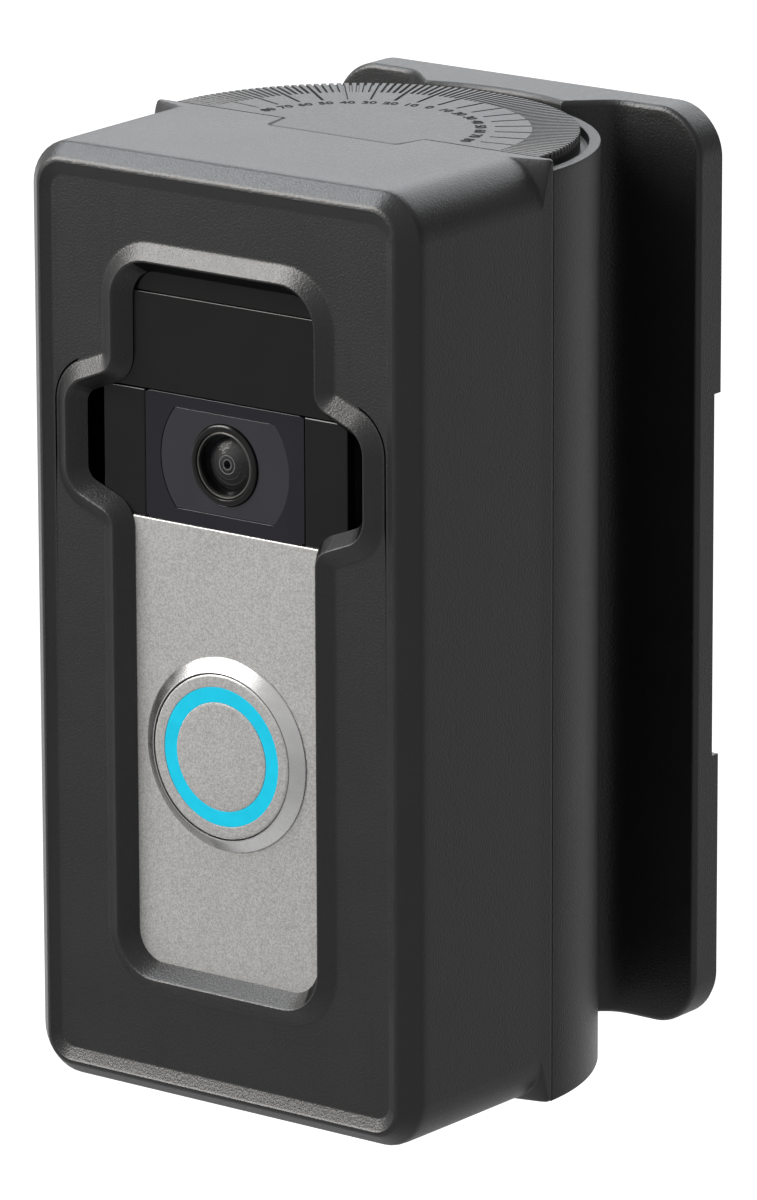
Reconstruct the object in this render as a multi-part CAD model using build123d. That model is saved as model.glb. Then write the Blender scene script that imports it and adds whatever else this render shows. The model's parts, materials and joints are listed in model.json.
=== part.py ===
from build123d import *
import math
import os

# A video doorbell in a locking case that swivels on a wall bracket.
# Millimetres. +Z is up, +X is to the right of someone facing the doorbell, and the
# front faces -Y. The origin is the middle of the bracket's back face, on the wall.

# ---- whole product
WALL = 0.0                  # wall plane
SWIVEL_Y = -48.7            # the swivel's vertical axis stands this far off the wall
LIP_Y = -84.2               # front rim of the case
CASE_HALF_H = 75.5          # case top and bottom
GAP = 0.1                   # assembly gap between parts that touch

# ---- case, front half
LIP_W = 68.6                # front rim, across and up
LIP_H = 146.0
LIP_R = 4.4
CHAMFER_Y = -81.1           # where the front chamfer meets the side walls
FRONT_W = 74.8              # case width there; the sides open slightly to the rear
SEAM_W = 76.6               # case width at the seam, twice the drum's radius
EDGE_R = 7.5                # rounding of the four long edges
WEB_START_Y = -51.6         # corner webs square the rounded edges off before the seam
WEB_END_Y = -49.6
WEB_R = 0.6
WALL_T = 2.2
PANEL_Y = -83.3             # sunk front panel
PANEL_W = 65.0
PANEL_H = 141.4
PANEL_R = 2.6
PANEL_BACK_Y = -81.9
CREST_Y = -84.85            # top of the raised collar round the opening
COLLAR_W = 2.8              # width of the collar's slope
FUNNEL = 2.1                # how far the opening narrows on its way in

# ---- the opening, at its crest
SLOT_HALF_W = 19.65
SLOT_TOP = 59.15
SLOT_BOTTOM = -55.9
ARM_HALF_W = 28.8
ARM_TOP_OUT = 37.6
ARM_TOP_IN = 41.25
ARM_BOTTOM_OUT = 21.55
ARM_BOTTOM_IN = 17.95
SLOT_TOP_R = 6.6
SLOT_BOTTOM_R = 7.0
ARM_R = 4.5
NOTCH_R = 3.2               # the four corners where the arms meet the slot

# ---- case, rear half: the drum
DRUM_R = 38.3
DRUM_WALL = 1.9
DRUM_TOP = 73.8
DISC_TOP = 72.3             # disc under the dial
DISC_T = 2.0
FLOOR_TOP = -71.2
PIVOT_LAND = -70.3          # raised ring round the lower pivot
SLOT_ANGLE = 53.0           # half angle of the slot that the bracket's neck passes
SLOT_HALF_Z = 69.0
TONGUE_HALF_W = 20.0        # shelves that reach forward to the chassis
TONGUE_FRONT_Y = -68.0

# ---- dial
DIAL_R = 35.1
DIAL_T = 1.6
DIAL_SKIRT = 1.7
TAB_FRONT_Y = -54.2         # keyed tab that locks the dial to the case top
TAB_HALF_REAR = 13.6
TAB_HALF_FRONT = 12.5

# ---- bracket
PLATE_W = 71.4
PLATE_H = 150.6
PLATE_R = 8.0
PLATE_T = 6.3
PLATE_EDGE_R = 0.9
NECK_HALF_W = 13.2          # at the drum
NECK_ROOT_HALF_W = 20.0     # where its flanks meet the wings
NECK_FLARE_R = 4.0
NECK_GAP = 0.4
BLADE_HALF_W = 13.3         # the part of the neck that passes the drum's slot
BLADE_HALF_Z = 68.5
RELIEF_TOP = 29.0           # finger relief along the back edges
RELIEF_BOTTOM = -30.5
RELIEF_DEPTH = 1.7
RELIEF_IN = 4.0
PAD_T = 1.2
PAD_HALF_W = 28.0
PAD_NEAR_Z = 6.0
PAD_FAR_Z = 66.0

# ---- swivel hub, fixed to the bracket inside the drum
HUB_R = 35.7
HUB_WALL = 2.7
HUB_ANGLE = 82.5            # half angle of the curved shield
HUB_HALF_Z = 69.7
ARM_T = 3.7
BOSS_R = 7.5
BUSH_R = 4.0
PIVOT_R = 2.5
PIVOT_FIT = 0.05
PIVOT_HEAD_R = 4.0
HUB_SCREW_Z = (-54.0, -20.0, 20.0, 54.0)
HUB_SCREW_R = 1.6

# ---- doorbell
BELL_HALF_W = 23.7
BELL_TOP = 38.3
BELL_BOTTOM = -63.3
BELL_FACE = -81.8
BELL_REAR = -59.4
BELL_CORNER_R = 4.0
BELL_WALL = 1.8
PLATE_FRONT_T = 2.0         # thickness of the faceplate and the camera cover
FACE_EDGE_R = 0.7
SPLIT_Z = 17.9              # faceplate below, camera section above
CAMERA_HALF_W = 15.4        # middle part of the camera section
LENS_Z = 28.4
WINDOW_R = 12.45
WINDOW_UP = 7.9             # the round window is cut flat above and below
WINDOW_DOWN = 8.0

# ---- button
BUTTON_Z = -17.8
BUTTON_FACE = -83.3
BUTTON_R = 13.1
BEZEL_IN_R = 13.3
BEZEL_OUT_R = 15.3
RING_OUT_R = 11.13
RING_IN_R = 8.7
RING_DEPTH = 1.1
STEM_REAR = -78.3           # the cap's stem meets the switch here
LIGHT_POSTS = 8

# ---- chassis, screws and terminals
CHASSIS_FRONT = -59.3
CHASSIS_REAR = -57.3
RAIL_IN = BELL_HALF_W + 1.1
RAIL_OUT = RAIL_IN + 1.8
CHASSIS_SCREW_X = (-14.0, 14.0)
CHASSIS_SCREW_Y = -63.5
SECURITY_X = (-6.0, 6.0)
SECURITY_Y = -64.0
BELL_SCREW_Z = (28.0, -38.0)
TERMINAL_X = (-7.0, 7.0)
TERMINAL_Z = -50.0
PEG_X = (-22.0, 22.0)       # pegs under the dial
PEG_Y = -35.0


# ---------------------------------------------------------------- small makers

def block(x0, x1, y0, y1, z0, z1):
    """A box between two opposite corners."""
    middle = Pos((x0 + x1) / 2, (y0 + y1) / 2, (z0 + z1) / 2)
    return middle * Box(abs(x1 - x0), abs(y1 - y0), abs(z1 - z0))


def rod_z(x, y, radius, z0, z1):
    """An upright cylinder."""
    return Pos(x, y, (z0 + z1) / 2) * Cylinder(radius, abs(z1 - z0))


def rod_y(x, z, radius, y0, y1):
    """A cylinder that lies front to back."""
    return Pos(x, (y0 + y1) / 2, z) * Rot(90, 0, 0) * Cylinder(radius, abs(y1 - y0))


def rod_x(y, z, radius, x0, x1):
    """A cylinder that lies side to side."""
    return Pos((x0 + x1) / 2, y, z) * Rot(0, 90, 0) * Cylinder(radius, abs(x1 - x0))


def ring_y(x, z, outer, inner, y0, y1):
    """A flat ring that faces front."""
    return rod_y(x, z, outer, y0, y1) - rod_y(x, z, inner, y0 - 1, y1 + 1)


def facing(y):
    """The upright plane at depth y, with X across and Z up, facing front."""
    return Plane(origin=(0, y, 0), x_dir=(1, 0, 0), z_dir=(0, -1, 0))


def rounded(y, width, height, radius):
    """A rounded rectangle on the upright plane at depth y."""
    return facing(y) * RectangleRounded(width, height, radius)


def skin(*sections):
    """A solid with straight walls from each section to the next."""
    solid = None
    for first, second in zip(sections, sections[1:]):
        piece = loft([first, second], ruled=True)
        solid = piece if solid is None else solid + piece
    return solid


def polygon(points, radii=0):
    """A face with straight sides and rounded corners."""
    return make_face(FilletPolyline(*points, radius=radii, close=True))


def plan_prism(points, z0, z1, radii=0):
    """An upright prism over an outline seen from above."""
    return Pos(0, 0, z0) * extrude(polygon(points, radii), z1 - z0)


def both_sides(shape):
    """The shape and its mirror image across the middle plane."""
    return shape + mirror(shape, about=Plane.YZ)


# ---------------------------------------------------------------- the opening

def opening_corners():
    """Corners of the opening at its crest, anticlockwise, each with its radius."""
    right = [
        (SLOT_HALF_W, SLOT_BOTTOM, SLOT_BOTTOM_R),
        (SLOT_HALF_W, ARM_BOTTOM_IN, -NOTCH_R),
        (ARM_HALF_W, ARM_BOTTOM_OUT, ARM_R),
        (ARM_HALF_W, ARM_TOP_OUT, ARM_R),
        (SLOT_HALF_W, ARM_TOP_IN, -NOTCH_R),
        (SLOT_HALF_W, SLOT_TOP, SLOT_TOP_R),
    ]
    left = [(-x, z, radius) for x, z, radius in reversed(right)]
    return right + left


def crossing(p, u, q, v):
    """Where the line through p along u meets the line through q along v."""
    scale = ((q[0] - p[0]) * v[1] - (q[1] - p[1]) * v[0]) / (u[0] * v[1] - u[1] * v[0])
    return (p[0] + u[0] * scale, p[1] + u[1] * scale)


def opening(y, grow):
    """The opening's outline at depth y, moved outwards by grow all round.
    A negative radius marks a corner that points into the opening."""
    corners = opening_corners()
    lines = []
    for (x0, z0, _), (x1, z1, _) in zip(corners, corners[1:] + corners[:1]):
        length = math.hypot(x1 - x0, z1 - z0)
        along = ((x1 - x0) / length, (z1 - z0) / length)
        lines.append(((x0 + along[1] * grow, z0 - along[0] * grow), along))
    points = []
    radii = []
    for index, (_, _, radius) in enumerate(corners):
        before = lines[index - 1]
        after = lines[index]
        points.append(crossing(before[0], before[1], after[0], after[1]))
        radii.append(abs(radius + grow))
    return facing(y) * polygon(points, radii)


# ---------------------------------------------------------------- case

def tab_outline(grow):
    """The dial's keyed tab, seen from above."""
    front = TAB_FRONT_Y - grow
    rear = SWIVEL_Y + 1
    return [
        (-TAB_HALF_REAR - grow, rear),
        (-TAB_HALF_FRONT - grow, front),
        (TAB_HALF_FRONT + grow, front),
        (TAB_HALF_REAR + grow, rear),
    ]


def shell_outside():
    """The front half's outer form: chamfered front, rounded edges, squared rear corners."""
    height = 2 * CASE_HALF_H
    seam = SWIVEL_Y - GAP
    return skin(
        rounded(LIP_Y, LIP_W, LIP_H, LIP_R),
        rounded(CHAMFER_Y, FRONT_W, height, EDGE_R),
        rounded(WEB_START_Y, SEAM_W - 0.2, height, EDGE_R),
        rounded(WEB_END_Y, SEAM_W, height, WEB_R),
        rounded(seam, SEAM_W, height, WEB_R),
    )


def shell_inside():
    """The space inside the front half."""
    height = 2 * (CASE_HALF_H - WALL_T)
    return skin(
        rounded(PANEL_BACK_Y, FRONT_W - 2 * WALL_T, height, EDGE_R - WALL_T),
        rounded(SWIVEL_Y, SEAM_W - 2 * WALL_T, height, EDGE_R - WALL_T),
    )


def front_shell():
    """The locking front half of the case."""
    sunk_panel = skin(
        rounded(LIP_Y - 0.1, LIP_W - 0.1, LIP_H - 0.1, LIP_R - 0.1),
        rounded(PANEL_Y, PANEL_W, PANEL_H, PANEL_R),
    )
    collar = skin(opening(CREST_Y, 0.25), opening(PANEL_Y + 0.4, COLLAR_W + 0.6))
    slope = FUNNEL / (BELL_FACE - CREST_Y)
    way_in = skin(
        opening(CREST_Y - 0.2, 0.2 * slope),
        opening(PANEL_BACK_Y + 0.3, -slope * (PANEL_BACK_Y + 0.3 - CREST_Y)),
    )
    tab_notch = plan_prism(tab_outline(GAP), CASE_HALF_H - WALL_T - 1, CASE_HALF_H + 1)
    rib = block(-10, 10, -70.6, -68.6, 71.0, CASE_HALF_H - WALL_T + 0.2)
    pivot_notch = rod_z(0, SWIVEL_Y, PIVOT_HEAD_R + 0.3, -80, -73)
    shell = shell_outside() - shell_inside() - sunk_panel + collar - way_in - tab_notch - pivot_notch + rib
    for x in SECURITY_X:
        shell -= rod_z(x, SECURITY_Y, 1.7, -77, -73)
        shell -= rod_z(x, SECURITY_Y, 3.2, -77, -CASE_HALF_H + 1.3)
    return shell


def rear_half(shape):
    """The part of a shape behind the seam."""
    return shape & block(-60, 60, SWIVEL_Y, 0, -100, 100)


def slot_wedge():
    """The wedge that the neck's blade sweeps as the case swivels."""
    reach = 60.0
    across = reach * math.sin(math.radians(SLOT_ANGLE))
    back = SWIVEL_Y + reach * math.cos(math.radians(SLOT_ANGLE))
    points = [(0, SWIVEL_Y), (across, back), (0, SWIVEL_Y + reach), (-across, back)]
    return plan_prism(points, -SLOT_HALF_Z, SLOT_HALF_Z)


def rear_shell():
    """The drum: the case's round rear half, with a disc under the dial, a floor,
    a slot for the bracket's neck, and two shelves that carry the chassis."""
    inner = DRUM_R - DRUM_WALL
    wall = rod_z(0, SWIVEL_Y, DRUM_R, -CASE_HALF_H, DRUM_TOP)
    wall -= rod_z(0, SWIVEL_Y, inner, -CASE_HALF_H - 1, DRUM_TOP + 1)
    disc = rod_z(0, SWIVEL_Y, inner + 0.5, DISC_TOP - DISC_T, DISC_TOP)
    floor = rod_z(0, SWIVEL_Y, inner + 0.5, -CASE_HALF_H, FLOOR_TOP)
    shell = rear_half(wall + disc + floor) - slot_wedge()
    shell += block(-TONGUE_HALF_W, TONGUE_HALF_W, TONGUE_FRONT_Y, SWIVEL_Y + 1,
                   DISC_TOP - DISC_T, DISC_TOP)
    shell += block(-TONGUE_HALF_W, TONGUE_HALF_W, TONGUE_FRONT_Y, SWIVEL_Y + 1,
                   -CASE_HALF_H + WALL_T + GAP, FLOOR_TOP)
    shell += rod_z(0, SWIVEL_Y, BOSS_R + 0.5, -73, PIVOT_LAND)
    shell -= rod_z(0, SWIVEL_Y, PIVOT_R + PIVOT_FIT, -80, 80)
    shell -= rod_z(0, SWIVEL_Y, PIVOT_HEAD_R + 0.3, -80, -CASE_HALF_H + 2.1)
    for x in CHASSIS_SCREW_X:
        shell -= rod_z(x, CHASSIS_SCREW_Y, 1.3, -80, 80)
        shell -= rod_z(x, CHASSIS_SCREW_Y, 2.7, DISC_TOP - 1.0, 80)
        shell -= rod_z(x, CHASSIS_SCREW_Y, 2.7, -80, -CASE_HALF_H + WALL_T + GAP + 1.0)
    for x in SECURITY_X:
        shell -= rod_z(x, SECURITY_Y, 1.55, -80, -60)
    for x in PEG_X:
        shell -= rod_z(x, PEG_Y, 1.6, 60, 80)
    return shell


def dial_cap():
    """The angle dial: the rear half of the case top, with a tab that keys into the front."""
    disc = rear_half(rod_z(0, SWIVEL_Y, DIAL_R, CASE_HALF_H - DIAL_T, CASE_HALF_H))
    skirt = rod_z(0, SWIVEL_Y, DIAL_R, DISC_TOP + 0.05, CASE_HALF_H - DIAL_T + 0.1)
    skirt -= rod_z(0, SWIVEL_Y, DIAL_R - DIAL_SKIRT, DISC_TOP - 1, CASE_HALF_H)
    tab = plan_prism(tab_outline(0), CASE_HALF_H - DIAL_T, CASE_HALF_H)
    cap = disc + rear_half(skirt) + tab
    for x in PEG_X:
        cap += rod_z(x, PEG_Y, 1.5, DISC_TOP - DISC_T + 0.1, CASE_HALF_H - DIAL_T + 0.2)
    return cap


def pivot_screws():
    """Shoulder screws that hold the case on the hub, one from above and one from below."""
    top = rod_z(0, SWIVEL_Y, PIVOT_R, HUB_HALF_Z - ARM_T - 1.5, DISC_TOP + 0.1)
    top += rod_z(0, SWIVEL_Y, PIVOT_HEAD_R, DISC_TOP, DISC_TOP + 1.4)
    top -= block(-0.5, 0.5, SWIVEL_Y - 5, SWIVEL_Y + 5, DISC_TOP + 0.8, DISC_TOP + 2)
    head_low = -CASE_HALF_H + 0.3
    bottom = rod_z(0, SWIVEL_Y, PIVOT_R, head_low + 1, -HUB_HALF_Z + ARM_T + 1.5)
    bottom += rod_z(0, SWIVEL_Y, PIVOT_HEAD_R, head_low, -CASE_HALF_H + 2.1)
    bottom -= block(-0.5, 0.5, SWIVEL_Y - 5, SWIVEL_Y + 5, head_low - 1, head_low + 0.7)
    return [top, bottom]


def friction_washers():
    """Thin washers between the hub's arms and the drum that hold the case where it is set."""
    washers = []
    upper = (HUB_HALF_Z + 0.05, DISC_TOP - DISC_T - 0.05)
    lower = (PIVOT_LAND + 0.05, -HUB_HALF_Z - 0.05)
    for low, high in (upper, lower):
        washer = rod_z(0, SWIVEL_Y, BOSS_R - 0.5, low, high)
        washers.append(washer - rod_z(0, SWIVEL_Y, PIVOT_R + 0.2, low - 1, high + 1))
    return washers


def small_screw(x, y, head_z, shank_r, head_r, head_t, length, up):
    """An upright screw whose head's outer face is at head_z."""
    way = 1 if up else -1
    screw = rod_z(x, y, head_r, head_z, head_z + way * head_t)
    screw += rod_z(x, y, shank_r, head_z + way * head_t * 0.5, head_z + way * length)
    slot = block(x - head_r, x + head_r, y - 0.35, y + 0.35, head_z - way, head_z + way * head_t * 0.5)
    return screw - slot


def chassis_screws():
    """Four screws that hold the chassis to the drum's shelves."""
    screws = []
    for x in CHASSIS_SCREW_X:
        screws.append(small_screw(x, CHASSIS_SCREW_Y, DISC_TOP, 1.2, 2.6, 0.95, 5.6, False))
        low = -CASE_HALF_H + WALL_T + GAP
        screws.append(small_screw(x, CHASSIS_SCREW_Y, low, 1.2, 2.6, 0.95, 5.6, True))
    return screws


def security_screws():
    """Two screws that lock the front half from below."""
    return [small_screw(x, SECURITY_Y, -CASE_HALF_H + 0.1, 1.45, 3.0, 1.15, 8.0, True) for x in SECURITY_X]


def chassis():
    """The inner frame: a back plate with rails and shelves for the doorbell."""
    top_flange = DISC_TOP - DISC_T - GAP
    bottom_flange = FLOOR_TOP + GAP
    frame = block(-RAIL_OUT, RAIL_OUT, CHASSIS_FRONT, CHASSIS_REAR, bottom_flange, top_flange)
    for low in (top_flange - 2, bottom_flange):
        frame += block(-TONGUE_HALF_W, TONGUE_HALF_W, TONGUE_FRONT_Y, CHASSIS_REAR, low, low + 2)
    rail = block(RAIL_IN, RAIL_OUT, -76, CHASSIS_REAR, BELL_BOTTOM, BELL_TOP - 2)
    shelf = block(8, RAIL_OUT, -76, CHASSIS_REAR, BELL_BOTTOM - 2.0, BELL_BOTTOM - 0.2)
    frame += both_sides(rail + shelf)
    frame -= block(-9, 9, -62, -55, -30, 16)
    for x in CHASSIS_SCREW_X:
        frame -= rod_z(x, CHASSIS_SCREW_Y, 1.25, -80, 80)
    for x in SECURITY_X:
        frame -= rod_z(x, SECURITY_Y, 1.5, -80, -60)
    for z in BELL_SCREW_Z:
        frame -= rod_y(0, z, 1.35, -62, -55)
    return frame


def side_pads():
    """Foam strips between the doorbell and the chassis rails."""
    pad = block(BELL_HALF_W + 0.05, RAIL_IN - 0.05, -74, -60, BELL_BOTTOM + 4, BELL_TOP - 4)
    return [pad, mirror(pad, about=Plane.YZ)]


def top_spacer():
    """The hollow filler above the doorbell, stepped across its front."""
    half = BELL_HALF_W - 0.4
    low = BELL_TOP + 0.15
    high = 64.5
    front = BELL_FACE + 0.05
    step_z = 53.7
    body = block(-half, half, front, -61.5, low, high)
    body -= block(-half - 1, half + 1, front - 1, front + 0.4, step_z, high + 1)
    body -= block(-half + 1.8, half - 1.8, front + 2.2, -60, low + 1.8, high - 1.8)
    return body


# ---------------------------------------------------------------- bracket

def bracket_plan():
    """The bracket seen from above: the plate with the neck standing out of it."""
    front = -PLATE_T
    tip = SWIVEL_Y + DRUM_R - 4
    slope = (NECK_ROOT_HALF_W - NECK_HALF_W) / (-PLATE_T - (SWIVEL_Y + 36.4))
    tip_half = NECK_ROOT_HALF_W - slope * (front - tip)
    half = PLATE_W / 2
    points = [
        (-half, WALL), (-half, front), (-NECK_ROOT_HALF_W, front), (-tip_half, tip),
        (tip_half, tip), (NECK_ROOT_HALF_W, front), (half, front), (half, WALL),
    ]
    radii = [0, 0, NECK_FLARE_R, 0, 0, NECK_FLARE_R, 0, 0]
    return polygon(points, radii)


def wall_plate():
    """The fixed bracket: wings against the wall and a neck that carries the hub."""
    body = Pos(0, 0, -PLATE_H / 2) * extrude(bracket_plan(), PLATE_H)
    body &= extrude(rounded(1, PLATE_W, PLATE_H, PLATE_R), 40)
    body = soften(body)
    body -= rod_z(0, SWIVEL_Y, DRUM_R + NECK_GAP, -80, 80)
    blade = block(-BLADE_HALF_W, BLADE_HALF_W, -20, -8, -BLADE_HALF_Z, BLADE_HALF_Z)
    body += blade - rod_z(0, SWIVEL_Y, HUB_R, -80, 80)
    relief = block(PLATE_W / 2 - RELIEF_IN, PLATE_W / 2 + 1, -RELIEF_DEPTH, 1, RELIEF_BOTTOM, RELIEF_TOP)
    body -= both_sides(relief)
    for low, high in pad_spans():
        body -= block(-PAD_HALF_W, PAD_HALF_W, -PAD_T, 1, low, high)
    for z in HUB_SCREW_Z:
        body -= rod_y(0, z, 3.4, -4.6, 1)
        body -= rod_y(0, z, HUB_SCREW_R + 0.1, -30, 1)
    return body


def soften(body):
    """The small rounding along the front outer edges of the bracket."""
    front = -PLATE_T
    rim = [edge for edge in body.edges() if on_front_rim(edge, front)]
    return fillet(rim, PLATE_EDGE_R)


def on_front_rim(edge, front):
    """True for an edge that borders the bracket's outline in front."""
    middle = edge.center()
    flat = abs(edge.tangent_at(0).Y) < 0.02 and abs(edge.tangent_at(1).Y) < 0.02
    outside = abs(middle.X) > PLATE_W / 2 - 3 or abs(middle.Z) > PLATE_H / 2 - 3
    return flat and outside and abs(middle.Y - front) < 0.01


def pad_spans():
    """Low and high ends of the two adhesive pads."""
    return ((-PAD_FAR_Z, -PAD_NEAR_Z), (PAD_NEAR_Z, PAD_FAR_Z))


def adhesive_pads():
    """Two thick adhesive pads, flush with the bracket's back."""
    edge = PAD_HALF_W - 0.1
    return [block(-edge, edge, -PAD_T + 0.05, WALL, low + 0.1, high - 0.1) for low, high in pad_spans()]


def swivel_hub():
    """The curved shield inside the drum with an arm to each pivot."""
    shield = rod_z(0, SWIVEL_Y, HUB_R, -HUB_HALF_Z, HUB_HALF_Z)
    shield -= rod_z(0, SWIVEL_Y, HUB_R - HUB_WALL, -80, 80)
    reach = 60.0
    across = reach * math.sin(math.radians(HUB_ANGLE))
    back = SWIVEL_Y + reach * math.cos(math.radians(HUB_ANGLE))
    far = SWIVEL_Y + reach
    sector = [(0, SWIVEL_Y), (across, back), (across, far), (-across, far), (-across, back)]
    hub = shield & plan_prism(sector, -80, 80)
    for low in (HUB_HALF_Z - ARM_T, -HUB_HALF_Z):
        hub += hub_arm(low, low + ARM_T)
    for z in HUB_SCREW_Z:
        hub += rod_y(0, z, 4.0, SWIVEL_Y + 29.0, SWIVEL_Y + HUB_R - 1.0)
        hub -= rod_y(0, z, HUB_SCREW_R + 0.05, SWIVEL_Y + 30.0, 0)
    hub -= rod_z(0, SWIVEL_Y, BUSH_R, -80, 80)
    return hub


def hub_arm(low, high):
    """A tapered arm from the shield to a pivot boss."""
    wide = 15.5
    far = SWIVEL_Y + math.sqrt(HUB_R ** 2 - wide ** 2) - 1.0
    points = [(-wide, far), (-BOSS_R, SWIVEL_Y), (BOSS_R, SWIVEL_Y), (wide, far)]
    return plan_prism(points, low, high) + rod_z(0, SWIVEL_Y, BOSS_R, low, high)


def pivot_bushes():
    """Plain bushes that line the hub's two pivot bores."""
    bushes = []
    for low in (HUB_HALF_Z - ARM_T, -HUB_HALF_Z):
        tube = rod_z(0, SWIVEL_Y, BUSH_R - 0.01, low, low + ARM_T)
        bushes.append(tube - rod_z(0, SWIVEL_Y, PIVOT_R + PIVOT_FIT, low - 1, low + ARM_T + 1))
    return bushes


def hub_screws():
    """Four screws from the back of the bracket into the hub."""
    screws = []
    for z in HUB_SCREW_Z:
        screw = rod_y(0, z, 3.2, -4.5, -1.9) + rod_y(0, z, HUB_SCREW_R, -18.4, -3)
        screws.append(screw - block(-0.5, 0.5, -3.0, 0, z - 4, z + 4))
    return screws


# ---------------------------------------------------------------- doorbell body

def bell_outline(y, low, high, inset=0.0, radius=BELL_CORNER_R):
    """A rounded rectangle of the doorbell's width between two heights."""
    shape = RectangleRounded(2 * (BELL_HALF_W - inset), high - low - 2 * inset, radius)
    return facing(y) * Pos(0, (low + high) / 2) * shape


def doorbell_housing():
    """The doorbell's rear body, open in front."""
    front = BELL_FACE + PLATE_FRONT_T + GAP
    depth = BELL_REAR - front
    body = extrude(bell_outline(BELL_REAR, BELL_BOTTOM, BELL_TOP), depth)
    inside = bell_outline(BELL_REAR - BELL_WALL, BELL_BOTTOM, BELL_TOP, BELL_WALL, BELL_CORNER_R - BELL_WALL)
    body -= extrude(inside, depth)
    for x in TERMINAL_X:
        body -= rod_y(x, TERMINAL_Z, 3.2, -65, -55)
    for z in BELL_SCREW_Z:
        body -= rod_y(0, z, 1.35, -65, -55)
    body -= rod_z(0, -77.3, 1.9, -70, BELL_BOTTOM + 1.1)
    body -= rod_z(0, -77.3, 1.1, -70, -60)
    return body


def face_blank():
    """The full front plate of the doorbell with its softened front edge."""
    rear = BELL_FACE + PLATE_FRONT_T
    plate = extrude(bell_outline(rear, BELL_BOTTOM, BELL_TOP), PLATE_FRONT_T)
    front = plate.faces().sort_by(Axis.Y)[0]
    return fillet(front.edges(), FACE_EDGE_R)


def faceplate():
    """The silver plate round the button, with a tab for its locking screw."""
    plate = face_blank() & block(-40, 40, -90, -70, -80, SPLIT_Z)
    plate -= rod_y(0, BUTTON_Z, BEZEL_OUT_R + 0.1, -90, -70)
    tab = block(-4, 4, BELL_FACE + PLATE_FRONT_T - 0.1, -75.4, BELL_BOTTOM + BELL_WALL + 0.1, -57.0)
    return plate + tab - rod_z(0, -77.3, 0.95, -70, -50)


def camera_cover():
    """The gloss black middle of the camera section, with a seat for the window."""
    cover = face_blank() & block(-CAMERA_HALF_W, CAMERA_HALF_W, -90, -70, SPLIT_Z + GAP, 50)
    return cover - extrude(window_face(BELL_FACE + 1.5, 0.05), 5) - rod_y(0, LENS_Z, 6.5, -90, -70)


def camera_side_trims():
    """The gloss black strips either side of the camera cover."""
    blank = face_blank()
    trims = []
    for near, far in ((CAMERA_HALF_W + GAP, 40), (-40, -CAMERA_HALF_W - GAP)):
        trims.append(blank & block(near, far, -90, -70, SPLIT_Z + GAP, 50))
    return trims


def window_face(y, grow):
    """A disc cut flat above and below."""
    disc = Circle(WINDOW_R + grow)
    band = Pos(0, (WINDOW_UP - WINDOW_DOWN) / 2) * Rectangle(40, WINDOW_UP + WINDOW_DOWN + 2 * grow)
    return facing(y) * Pos(0, LENS_Z) * (disc & band)


def camera_window():
    """The smoked window round the lens."""
    return extrude(window_face(BELL_FACE + 1.45, 0), 1.35) - rod_y(0, LENS_Z, 6.5, -90, -70)


# ---------------------------------------------------------------- camera

def lens_barrel():
    """The lens tube, with a wider ring that shows in the window."""
    tube = ring_y(0, LENS_Z, 5.5, 4.2, -81.2, -72.4)
    front_ring = ring_y(0, LENS_Z, 6.4, 5.25, -82.2, -80.4)
    seat = ring_y(0, LENS_Z, 6.4, 4.2, -81.2, -80.4)
    return tube + seat + front_ring


def lens_ring():
    """The thin bright ring that holds the front glass."""
    return ring_y(0, LENS_Z, 5.2, 4.85, -82.0, -81.25)


def lens_glass():
    """The domed front element."""
    half = 4.8
    rise = 0.9
    ball_r = (half ** 2 + rise ** 2) / (2 * rise)
    centre = -82.5 + ball_r
    dome = Pos(0, centre, LENS_Z) * (Sphere(ball_r) - Sphere(ball_r - 0.6))
    return dome & rod_y(0, LENS_Z, half, -84, -81.3)


def iris_plate():
    """The black stop with a small round aperture."""
    return ring_y(0, LENS_Z, 4.15, 1.43, -80.6, -80.0)


def inner_lens():
    """The element behind the stop."""
    return rod_y(0, LENS_Z, 4.1, -79.8, -78.4)


def lens_holder():
    """The square mount that joins the lens tube to the camera board."""
    holder = block(-8, 8, -75.6, -70.05, LENS_Z - 8, LENS_Z + 8)
    holder -= rod_y(0, LENS_Z, 5.55, -80, -71.6)
    return holder - block(-6, 6, -71.6, -69, LENS_Z - 6, LENS_Z + 6)


def camera_board():
    """The small board behind the lens."""
    return block(-14, 14, -70.0, -69.0, SPLIT_Z - 2, 36)


def image_sensor():
    """The image sensor on the camera board."""
    return block(-4, 4, -70.9, -70.0, LENS_Z - 3, LENS_Z + 3)


def infrared_leds():
    """Infrared lamps behind the smoked window, either side of the lens."""
    leds = []
    for x in (-9.6, 9.6):
        for z in (LENS_Z - 3.5, LENS_Z + 3.5):
            leds.append(rod_y(x, z, 1.0, -79.6, -77.4) + rod_y(x, z, 0.3, -77.5, -70.0))
    return leds


# ---------------------------------------------------------------- electronics

def main_board():
    """The main circuit board."""
    return block(-20.5, 20.5, -66.4, -65.2, -60.0, 34.0)


def shield_can():
    """The metal can over the processor and radio."""
    return block(-9, 9, -68.4, -66.4, 0, 13)


def storage_capacitors():
    """Two capacitors that carry the chime pulse."""
    return [rod_x(-69.45, z, 3.0, -9, 9) for z in (-30.0, -23.5)]


def speaker():
    """The round speaker low in the housing."""
    rim = rod_y(0, -46.0, 9.0, -78.6, -76.8)
    return rim + rod_y(0, -46.0, 6.5, -77.0, -72.4)


def microphone():
    """The microphone can on the main board."""
    return block(12, 16, -67.6, -66.4, 4, 7)


def terminal_block():
    """The insulated block behind the two supply terminals."""
    body = block(-13, 13, -64.8, BELL_REAR - BELL_WALL - 0.05, TERMINAL_Z - 4, TERMINAL_Z + 4)
    for x in TERMINAL_X:
        body -= rod_y(x, TERMINAL_Z, 1.55, -70, -55)
    return body


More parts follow.
